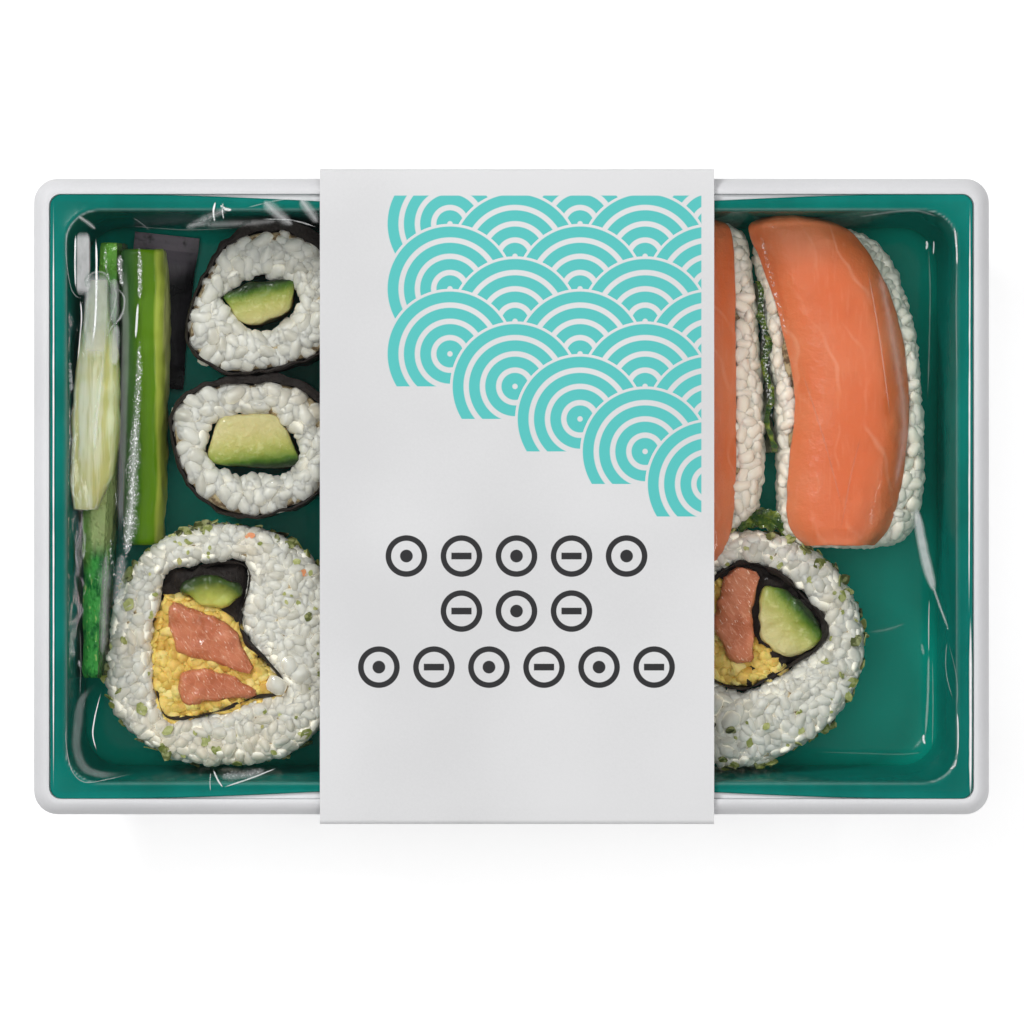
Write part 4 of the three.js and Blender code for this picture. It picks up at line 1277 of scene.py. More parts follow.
class SUSHI_OT_trays(bpy.types.Operator):
    """Make the board tray and the plastic liner in it"""

    bl_idname = "sushi.trays"
    bl_label = "Trays"

    def execute(self, context):
        trays = project().trays
        finished("board_tray_shell", self.board(), board_paint(trays), "board", "board_tray")
        finished("liner_tray_shell", self.liner(), liner_paint(trays), "liner", "liner_tray")
        return {"FINISHED"}

    def board(self):
        """Rings up the outside, over the rolled rim and down the inside to the floor under the liner."""
        low, top, deep = RIM_LOW.z, RIM_HIGH.z, LINER_LOW.z - 0.3
        return shell([
            (FLOOR_EDGE, 0.6, 5.0, low),
            (FLOOR_EDGE, 1.5, 5.4, low + 0.5),
            (WALL_FOOT, 1.3, 6.0, low + 1.8),
            (MOUTH, 1.5, 7.0, top - 2.6),
            (RIM, -2.6, 3.2, top - 2.2),
            (RIM, -1.1, 4.0, top - 3.0),
            (RIM, -0.9, 4.1, top - 3.5),
            (RIM, -0.3, 4.6, top - 3.6),
            (RIM, 0, 4.8, top - 3.3),
            (RIM, -0.15, 4.7, top - 2.5),
            (RIM, -1.2, 3.7, top - 0.75),
            (RIM, -2.1, 3.0, top - 0.12),
            (RIM, -2.6, 2.7, top),
            (RIM, -3.15, 2.4, top - 0.12),
            (RIM, -3.25, 2.3, top - 0.5),
            (RIM, -3.3, 2.3, FLANGE_Z - 1.0),
            (MOUTH, 0.9, 6.9, FLANGE_Z - 1.0),
            (MOUTH, 0.9, 6.9, FLANGE_Z - 1.6),
            (WALL_FOOT, 0.9, 5.8, deep + 2.2),
            (FLOOR_EDGE, 0.9, 5.0, deep),
        ])

    def liner(self):
        """Rings up the outside, over the flange and its raised bead, and down to the floor in a bend."""
        top, low, wall = FLANGE_Z, LINER_LOW.z, 0.6
        rings = [
            (FLOOR_EDGE, 0, 4.5, low),
            (WALL_FOOT, wall, 5.8, low + 1.6),
            (MOUTH, wall, 6.8, top - wall - 0.3),
            (FLANGE, -0.2, 2.4, top - wall, FLANGE_BOW),
            (FLANGE, 0, 2.4, top - wall / 2, FLANGE_BOW),
            (FLANGE, -0.2, 2.3, top, FLANGE_BOW),
            (MOUTH, 1.3, 7.2, top),
            (MOUTH, 1.0, 7.0, top + 0.16),
            (MOUTH, 0.6, 6.8, top + 0.16),
            (MOUTH, 0.2, 6.6, top - 0.15),
            (MOUTH, 0, MOUTH_CORNER, top - 0.9),
        ]
        bend, steps = 4.0, 8
        for step in range(steps + 1):
            turn = math.pi / 2 * step / steps
            inward = 0.3 + bend * (1 - math.cos(turn))
            height = low + wall + bend * (1 - math.sin(turn))
            rings.append((WALL_FOOT, -inward, 7.5 - 2.5 * step / steps, height))
        return shell(rings)


class SUSHI_OT_small_rolls(bpy.types.Operator):
    """Make the two small cucumber rolls"""

    bl_idname = "sushi.small_rolls"
    bl_label = "Small rolls"

    OVERLAP = 1.1  # the angle at which the seaweed overlaps itself

    def execute(self, context):
        settings = project()
        rice, food = settings.rice, settings.food
        grain_finish, sheet_finish = rice_paint(rice, light=0.12), nori_paint(food)
        for k, (name, roll) in enumerate(SMALL_ROLLS.items()):
            top = box_mm(name + "_nori")[1].z
            grains = self.rice(roll, top, rice, rice.seed + k)
            finished(name + "_grains", grains, grain_finish, "rice", name + "_rice", sharp=180)
            finished(name + "_sheet", self.sheet(roll, top), sheet_finish, "nori", name + "_nori")
            middle, _ = reach_of(roll["cucumber"])
            edge = max((Vector(point) - middle).dot(Vector(roll["skin"])) for point in roll["cucumber"])
            place = (middle.x + roll["centre"][0], middle.y + roll["centre"][1])
            finish = cut_cucumber_paint(food, name, roll["skin"], place, edge)
            finished(name + "_stick", self.stick(roll, top), finish, "cucumber", name + "_cucumber")
        return {"FINISHED"}

    def rice(self, roll, top, rice, seed):
        """Grains on a low ring between the seaweed and the cucumber."""
        outline, hole, centre = roll["outline"], roll["hole"], roll["centre"]
        level = top - 1.1
        profile = [(1, FOOD_Z), (2, FOOD_Z), (2, level - 1), (1.94, level - 0.4), (1.5, level)]
        profile += [(1.06, level - 0.4), (1, level - 1)]
        core = shaped(
            turned(profile, closed=True),
            centre,
            lambda a: radius_at(outline, a) - self.rim(roll, a) - 0.3,
            lambda a: radius_at(hole, a) + 0.9,
        )

        def inside(spot, normal):
            dx, dy = spot[0] - centre[0], spot[1] - centre[1]
            angle = math.atan2(dy, dx)
            reach = radius_at(outline, angle) - self.rim(roll, angle) - 1.5
            return normal[2] > 0.3 and math.hypot(dx, dy) < reach

        return rice_on(core, rice, seed, [(inside, ((-0.45, 0.8), (0.05, 0.85)))], 1.12)

    def rim(self, roll, angle):
        """How thick the seaweed shows at an angle: thicker at the back right, where it is folded."""
        return 0.5 + roll["folded"] * max(0, math.cos(angle - self.OVERLAP)) ** 1.5

    def sheet(self, roll, top):
        """A crumpled tube of seaweed round the rice."""
        outline, centre = roll["outline"], roll["centre"]
        profile = [(1, FOOD_Z), (2, FOOD_Z)]
        profile += [(2, FOOD_Z + (top - FOOD_Z) * k / 8) for k in range(1, 8)]
        profile += [(2, top - 0.3), (1.5, top), (1, top - 0.3)]
        profile += [(1, FOOD_Z + (top - FOOD_Z) * k / 8) for k in range(7, 0, -1)]

        def crumpled(a):
            return 0.5 * noise.noise((6 * math.cos(a), 6 * math.sin(a), 1))

        tube = shaped(
            turned(profile, steps=144, closed=True),
            centre,
            lambda a: radius_at(outline, a) + 0.1 + crumpled(a) + 0.9 * max(0, math.cos(a - self.OVERLAP)),
            lambda a: radius_at(outline, a) - self.rim(roll, a) + crumpled(a),
        )
        return roughened(tube, 0.35, 0.35, seed=2)

    def stick(self, roll, top):
        """The cucumber in the middle."""
        return filling_body(*in_tray(roll, roll["cucumber"]), top - 0.5, relief=0.35)


def filling_body(centre, reach, top, relief):
    """A piece of filling: an upright body with a softly rounded, slightly uneven top."""
    low = FOOD_Z
    profile = [(0, top), (0.2, top), (0.4, top), (0.6, top), (0.78, top - 0.05), (0.9, top - 0.2)]
    profile += [(0.97, top - 0.55), (1, top - 1.2), (1, top - 4), (1, (top + low) / 2)]
    profile += [(1, low + 0.5), (0.9, low), (0, low)]
    body = shaped(turned(profile, steps=64), centre, reach)
    return roughened(body, relief, 0.45, seed=4)


class SUSHI_OT_large_rolls(bpy.types.Operator):
    """Make the two large inside-out rolls with their fillings and flakes"""

    bl_idname = "sushi.large_rolls"
    bl_label = "Large rolls"

    SMALL_FLAKES = 50
    EDGE_FLAKES = 34
    SIDE_FLAKES = 130
    SIDE_TINTS = (0.0, 0.15, 0.3, 0.35, 0.45, 0.6)
    # Larger flakes on top: X, Y, length, and a tint of 0 dark, 0.35 green, 0.8 pale green or 1 orange
    TOP_FLAKES = {
        "left_roll": (
            (-61.1, -6.7, 3.0, 0.4), (-75.9, -12.5, 2.6, 0.3), (-76.9, -21.7, 3.2, 0.7),
            (-77.9, -28.9, 2.4, 0.5), (-74.3, -42.7, 3.4, 0.4), (-61.5, -49.1, 3.0, 0.5),
            (-59.3, -50.9, 2.6, 0.35), (-41.3, -47.7, 3.4, 0.4), (-54.9, -5.5, 3.0, 0.5),
            (-48.5, -6.5, 3.2, 0.35), (-43.3, -13.3, 2.6, 0.6), (-52.5, -7.9, 2.2, 1.0),
            (-41.7, -15.3, 2.4, 1.0), (-38.5, -36.0, 2.6, 0.3), (-69.0, -47.0, 2.8, 0.6),
            (-36.4, -26.0, 2.4, 0.5),
        ),
        "right_roll": (
            (44.5, -6.3, 5.0, 0.0), (48.5, -6.0, 5.0, 0.15), (52.5, -6.8, 4.6, 0.3),
            (55.9, -8.9, 3.4, 0.5), (62.0, -13.5, 3.4, 0.2), (66.5, -20.0, 3.0, 0.35),
            (69.3, -29.0, 3.4, 0.1), (68.5, -37.5, 3.2, 0.4), (64.4, -46.0, 3.4, 0.2),
            (57.0, -51.8, 3.4, 0.45), (50.0, -54.0, 3.2, 0.1), (43.5, -54.4, 3.0, 0.4),
            (58.0, -47.0, 2.6, 0.7), (63.0, -33.0, 2.6, 0.6), (48.0, -49.5, 2.4, 0.5),
            (60.0, -17.0, 2.4, 0.7),
        ),
    }

    def execute(self, context):
        settings = project()
        rice, food = settings.rice, settings.food
        finishes = {
            "rice": rice_paint(rice, light=0.3),
            "nori": nori_paint(food),
            "roll_salmon": chunk_paint(food),
            "egg": egg_paint(food),
            "avocado": avocado_paint(food),
            "cucumber": cut_cucumber_paint(food, "right_roll", (0.75, 0.66), (55.6, -25.2), reach=4.9),
            "herb": herb_paint(food),
        }
        for k, (name, roll) in enumerate(LARGE_ROLLS.items()):
            top = box_mm(name + "_rice")[1].z - 1.6
            seed = rice.seed + 10 + k
            grains, crumbs = self.rice(roll, top, rice, seed), self.egg(roll, top, seed)
            ring = finished(name + "_grains", grains, finishes["rice"], "rice", name + "_rice", sharp=180)
            finished(name + "_sheet", self.lining(roll, top), finishes["nori"], "nori", name + "_nori")
            finished(name + "_crumb", crumbs, finishes["egg"], "egg", name + "_egg", sharp=180)
            for piece, points in FILLINGS.items():
                if piece.startswith(name):
                    kind = next(s for s in ("avocado", "salmon", "cucumber") if s in piece)
                    slot = "roll_salmon" if kind == "salmon" else kind
                    finished(piece + "_cut", self.filling(roll, points, top), finishes[slot], slot, piece)
            finished(name + "_flakes", self.flakes(name, ring, seed), finishes["herb"], "leaf")
        return {"FINISHED"}

    def hole(self, roll, gap):
        """The hole's radius about the roll's own centre, less a gap."""
        (hx, hy), hole = roll["hole_centre"], roll["hole"]
        around = [math.tau * k / 144 for k in range(144)]
        reaches = [radius_at(hole, a) - gap for a in around]
        points = [(r * math.cos(a) + hx, r * math.sin(a) + hy) for r, a in zip(reaches, around)]
        angles = [math.atan2(y, x) for x, y in points]
        radii = [math.hypot(x, y) for x, y in points]
        order = np.argsort(angles)
        angles, radii = np.array(angles)[order], np.array(radii)[order]
        return lambda angle: float(np.interp(angle, angles, radii, period=math.tau))

    def rice(self, roll, top, rice, seed):
        """Grains on top and on the side of a ring, but for its seam, and loose ones in its middle."""
        outline, centre = roll["outline"], roll["centre"]
        level = top - 0.9
        profile = [(1, FOOD_Z), (1.9, FOOD_Z), (2, FOOD_Z + 3), (2, level - 1.6), (1.95, level - 0.6)]
        profile += [(1.85, level - 0.1), (1.4, level), (1.08, level - 0.3), (1, level - 1.4)]
        core = shaped(
            turned(profile, closed=True),
            centre,
            lambda a: radius_at(outline, a) - 1.9,
            self.hole(roll, -1.3),
        )
        hole = self.hole(roll, -0.4)
        seam = np.array([smooth_point(roll["seam"], k / 12) for k in range(13)])

        def outside(spot, gap):
            dx, dy = spot[0] - centre[0], spot[1] - centre[1]
            return math.hypot(dx, dy) > hole(math.atan2(dy, dx)) + gap

        def on_top(spot, normal):
            off_seam = min((seam - spot[:2]) ** 2 @ (1, 1)) > 0.9
            return outside(spot, 0.6) and spot[2] > level - 3 and off_seam

        def on_side(spot, normal):
            return outside(spot, 3) and FOOD_Z + 1.2 < spot[2] < level - 2

        zones = [(on_top, ((-0.5, 0.8), (0.1, 0.85))), (on_side, ((0.1, 1.2),))]
        heap = rice_on(core, rice, seed, zones, 0.9)
        draw = np.random.default_rng(seed)
        loose = np.array([(x, y, top - 0.2) for x, y in roll["loose"]])
        sizes = (rice.length / MM, rice.width / MM * 1.3, rice.width / MM * 1.2)
        frames = frames_at(loose, np.tile((0.0, 0.0, 1.0), (len(loose), 1)), sizes, 0.3, 0.1, draw)
        return merged(heap, joined_copies(grain_shape(), frames, draw.uniform(0.4, 1, len(loose))))

    def lining(self, roll, top):
        """The seaweed round the fillings, and a folded lump of it below them."""
        rim = top - 0.5
        profile = [(1, FOOD_Z), (2, FOOD_Z), (2, FOOD_Z + 8), (2, FOOD_Z + 16), (2, rim - 0.3), (1.5, rim)]
        profile += [(1, rim - 0.3), (1, FOOD_Z + 16), (1, FOOD_Z + 8)]
        outer, inner = self.hole(roll, -0.1), self.hole(roll, roll["lining"])
        tube = shaped(turned(profile, steps=180, closed=True), roll["centre"], outer, inner)
        for v in tube.verts:
            out = (v.co.xy - Vector(roll["centre"])).normalized()
            v.co.z -= min(v.co.z - FOOD_Z, 5 * max(0, out.dot(Vector(roll["bare"]))) ** 3)
        folded = filling_body(roll["centre"], self.hole(roll, 0.3), top - 2.6, relief=2.4)
        return merged(roughened(tube, 0.6 + 0.4 * roll["lining"], 0.35, seed=5), folded)

    def egg(self, roll, top, seed):
        """Crumbs of egg on a lumpy body that lies a little below the rice."""
        level = top - roll["sunk"]
        body = filling_body(*in_tray(roll, roll["egg"]), level, relief=1.0)
        draw = np.random.default_rng(seed)
        spots, normals = sown(body, 1.2, seed, lambda spot, normal: spot[2] > level - 2.5)
        frames = frames_at(spots - normals * 0.2, normals, (3.3, 2.5, 1.4), 0.6, 0.45, draw)
        return merged(joined_copies(crumb_shape(), frames, draw.random(len(spots))), body)

    def filling(self, roll, points, top):
        """A piece of filling that stands a little above the seaweed."""
        return filling_body(*in_tray(roll, points), top + 0.3, relief=0.8)

    def flakes(self, name, ring, seed):
        """Flakes laid on the rice where they are listed, small ones strewn on it, and a crust on its side."""
        draw = np.random.default_rng(seed + 5)
        tree = BVHTree.FromObject(ring, bpy.context.evaluated_depsgraph_get())
        roll = LARGE_ROLLS[name]
        cx, cy = roll["centre"]
        laid = []

        def above(angle, out):
            """A start above the roll, so far out from its centre."""
            return (cx + out * math.cos(angle), cy + out * math.sin(angle), ABOVE)

        def lands(start, way, lowest):
            """Where a flake sent that way from a start lands on the rice, and the rice's normal there."""
            spot, normal, *_ = tree.ray_cast(Vector(start) * MM, way)
            return (spot / MM, normal) if spot and spot.z / MM > lowest else (None, None)

        for x, y, length, tint in self.TOP_FLAKES[name]:
            spot, normal = lands((x, y, ABOVE), DOWN, FOOD_Z)
            if spot:
                laid.append((spot, normal - DOWN, length, tint))
        for _ in range(self.SMALL_FLAKES):
            start = above(draw.uniform(0, math.tau), draw.uniform(14, 25))
            spot, normal = lands(start, DOWN, lowest=22)
            if spot:
                laid.append((spot, normal - DOWN, draw.uniform(0.8, 1.7), draw.uniform(0.35, 0.85)))
        first, last = (math.radians(degrees) for degrees in roll["crust"])
        for _ in range(self.EDGE_FLAKES):
            angle = draw.uniform(first, last)
            start = above(angle, radius_at(roll["outline"], angle) - draw.uniform(-0.3, 1.3))
            spot, normal = lands(start, DOWN, lowest=12)
            if spot:
                laid.append((spot, normal - DOWN * 0.6, draw.uniform(1.6, 3.6), draw.uniform(0, 0.32)))
        for _ in range(self.SIDE_FLAKES):
            angle, z = draw.uniform(0, math.tau), draw.uniform(FOOD_Z + 3, FOOD_Z + 24)
            out = Vector((math.cos(angle), math.sin(angle), 0))
            spot, normal = lands(Vector((cx, cy, z)) + out * 40, -out, FOOD_Z)
            if spot:
                length, tint = draw.uniform(1.8, 3.6), draw.choice(self.SIDE_TINTS)
                laid.append((spot + out * 0.3, normal, length, tint))
        spots, normals, lengths, tints = (np.array(column) for column in zip(*laid))
        normals /= np.linalg.norm(normals, axis=1, keepdims=True)
        frames = frames_at(spots - normals * 0.05, normals, (0.86, 0.86, 1), 0.25, 0.1, draw)
        sizes = np.stack([lengths, lengths * 0.8, np.full(len(lengths), 0.5)], axis=1)
        frames[:, :, :3] *= sizes[:, None, :]
        return joined_copies(flake_shape(), frames, tints)


class SUSHI_OT_nigiri(bpy.types.Operator):
    """Make the two salmon nigiri"""

    bl_idname = "sushi.nigiri"
    bl_label = "Nigiri"

    def execute(self, context):
        settings = project()
        grain_finish, fish_finish = rice_paint(settings.rice, light=0.03), salmon_paint(settings.food)
        for k, (name, piece) in enumerate(NIGIRI.items()):
            grains = self.pad(piece, settings.rice, settings.rice.seed + 30 + k)
            finished(name + "_grains", grains, grain_finish, "rice", name + "_rice", sharp=180)
            finished(name + "_slice", self.slab(piece), fish_finish, "salmon", name + "_salmon")
        return {"FINISHED"}

    def section(self, slab, share, out):
        """The slice's height and thickness at a share of its length and of its half width."""
        sides, back, front = slab["fall"]
        bend = back * max(0, 1 - share / 0.28) ** 2 + front * max(0, share / 0.3 - 2.33) ** 2
        thick = slab["thickness"] * (0.55 + 0.45 * fullness(share, 8)) * (1 - 0.55 * out**3)
        return NIGIRI_TOP - bend - sides * out**3.4, thick

    def slab(self, piece):
        """The slice of salmon, bent down at its ends and sides."""
        slab = piece["slab"]

        def shape(u, v, w):
            share = (v + 1) / 2
            across = u * (1 - 0.03 * abs(w) ** 3)
            crown, thick = self.section(slab, share, abs(u))
            at = between(slab, share, across)
            ripple = 0.22 * noise.noise((at.x * 0.16, at.y * 0.1, 1.3))
            return (at.x, at.y, crown - 0.25 + ripple - (1 - w) / 2 * (thick - 0.25))

        return roughened(loaf((25, 70, 4), shape), 0.2, 0.4, seed=6)

    def under_slab(self, slab, x, y):
        """The height of the slice's underside at a point, falling beyond its edges, and the share across."""
        ends = [edge[k][1] for edge in (slab["left"], slab["right"]) for k in (0, -1)]
        share = min(1.0, max(0.0, (max(ends) - y) / (max(ends) - min(ends))))
        left, right = (smooth_point(slab[edge], share).x for edge in ("left", "right"))
        across = abs(2 * x - left - right) / (right - left)
        crown, thick = self.section(slab, share, min(1, across))
        beyond = max(0, across - 1) * (right - left) / 2
        outside = 1.3 * min(1, beyond) - 0.2 * beyond**1.5
        return crown - thick + outside, across

    def pad(self, piece, rice, seed):
        """The rice under the slice, with grains where it shows."""
        slab, pad = piece["slab"], piece["pad"]

        def shape(u, v, w):
            share = (v + 1) / 2
            across = u * (1 - 0.04 * w**4) * 0.95
            at = between(pad, 0.03 + 0.94 * share, across)
            under, _ = self.under_slab(slab, at.x, at.y)
            high = (under - 0.9 - FOOD_Z) * (0.85 + 0.15 * fullness(share, 6))
            return (at.x, at.y, FOOD_Z + high * (w + 1) / 2 - 0.8 * abs(u) ** 6 * max(0, w))

        core = loaf((9, 18, 5), shape)
        zones = [(lambda spot, normal: self.shows(slab, spot, normal), ((-0.4, 0.8), (0.3, 0.85)))]
        return rice_on(core, rice, seed, zones, 1.05)

    def shows(self, slab, spot, normal):
        """Whether a spot on the rice isn't under the slice."""
        under, across = self.under_slab(slab, float(spot[0]), float(spot[1]))
        clear = across > 1.06 or spot[2] < under - 2.2
        return spot[2] > FOOD_Z + 0.8 and clear and (across > 0.8 or normal[2] < 0.6)


class SUSHI_OT_divider(bpy.types.Operator):
    """Make the leaf divider that stands between the nigiri"""

    bl_idname = "sushi.divider"
    bl_label = "Leaf divider"

    def execute(self, context):
        top = box_mm("leaf_divider")[1].z

        def shape(u, v, w):
            at = smooth_point(LEAF_LINE, (v + 1) / 2)
            tooth = 0.9 * math.sin(v * 42) + 1.0 * noise.noise((0, at.y * 0.5, 0))
            thick = 0.5 + 0.7 * max(0, w) * abs(noise.noise((0, at.y * 0.35, 2)))
            up = FOOD_Z + (top - 1.2 - FOOD_Z) * (w + 1) / 2 + tooth * max(0, w)
            sway = 0.5 * math.sin(w * 2 + at.y * 0.6)
            return (at.x + u * thick + sway, at.y, up)

        def scraps(u, v, w):
            at = smooth_point(SCRAPS_LINE, (v + 1) / 2)
            wide = 1.9 * (1 + 0.6 * noise.noise((at.x * 0.7, u, 4.0))) * fullness((v + 1) / 2, 4)
            lift = w * 0.5 + 1.6 * noise.noise((at.x * 0.5, u * 1.5, 7.0))
            return (at.x, at.y - 0.4 + u * wide, top - 3.0 + lift)

        leaf = roughened(loaf((2, 70, 12), shape), 0.4, 0.6, seed=8)
        merged(leaf, roughened(loaf((8, 40, 1), scraps), 0.5, 0.8, seed=9))
        finished("leaf_divider_blade", leaf, leaf_paint(project().food), "leaf", "leaf_divider")
        return {"FINISHED"}


class SUSHI_OT_batons(bpy.types.Operator):
    """Make the three cucumber batons"""

    bl_idname = "sushi.batons"
    bl_label = "Cucumber batons"

    def execute(self, context):
        food = project().food
        finishes = {
            "cucumber_skin_baton": (skin_baton_paint(food), "cucumber_skin"),
            "cucumber_flesh_baton": (flesh_baton_paint(food), "cucumber_flesh"),
            "cucumber_long_baton": (long_baton_paint(food), "cucumber_skin"),
        }
        for name, (finish, slot) in finishes.items():
            finished(name + "_cut", self.baton(BATONS[name]), finish, slot, name, sharp=60)
        return {"FINISHED"}

    def baton(self, baton):
        """A baton drawn along its line."""
        middle, reach = reach_of(baton["section"])
        back, front = Vector(baton["back"]), Vector(baton["front"])

        def shape(u, v, w):
            share = (v + 1) / 2
            sway, wide = smooth_point(list(zip(baton["sway"], baton["width"])), share)
            angle = math.atan2(w, u)
            near_end = max(0, abs(v) - 0.97) / 0.03
            out = reach(angle) * max(abs(u), abs(w)) * (1 - 0.07 * near_end**2)
            at = back.lerp(front, share)
            under = baton["z"][0] + (baton["z"][1] - baton["z"][0]) * share
            side = (middle.x + out * math.cos(angle)) * wide
            return (at.x + sway + side, at.y, under + middle.y + out * math.sin(angle))

        return roughened(loaf((8, 90, 8), shape), 0.35, 0.3, seed=9)


class SUSHI_OT_sachet(bpy.types.Operator):
    """Make the dark sauce sachet beside the small rolls"""

    bl_idname = "sushi.sachet"
    bl_label = "Sauce sachet"

    def execute(self, context):
        low, high = box_mm("sauce_sachet")
        middle = Vector((-71.8, 37.9, (low.z + high.z) / 2))
        half_y, turn = 15.5, Matrix.Rotation(-0.11, 3, "Z")

        def shape(u, v, w):
            y = v * half_y
            end = min(1, max(0, (half_y - abs(y) - 3.2) / 3.5))
            full = 0.06 + 0.94 * math.sin(end * math.pi / 2) * (1 - abs(u) ** 2.5) ** 0.5
            x = u * (6.6 - 0.3 * end)
            z = w * 1.85 * full + 0.12 * math.sin(y * 9) * (1 - end)
            return turn @ Vector((x, y, z)) + middle

        pouch = loaf((16, 60, 1), shape)
        finished("sauce_sachet_pouch", pouch, sachet_paint(project().food), "sachet", "sauce_sachet")
        return {"FINISHED"}


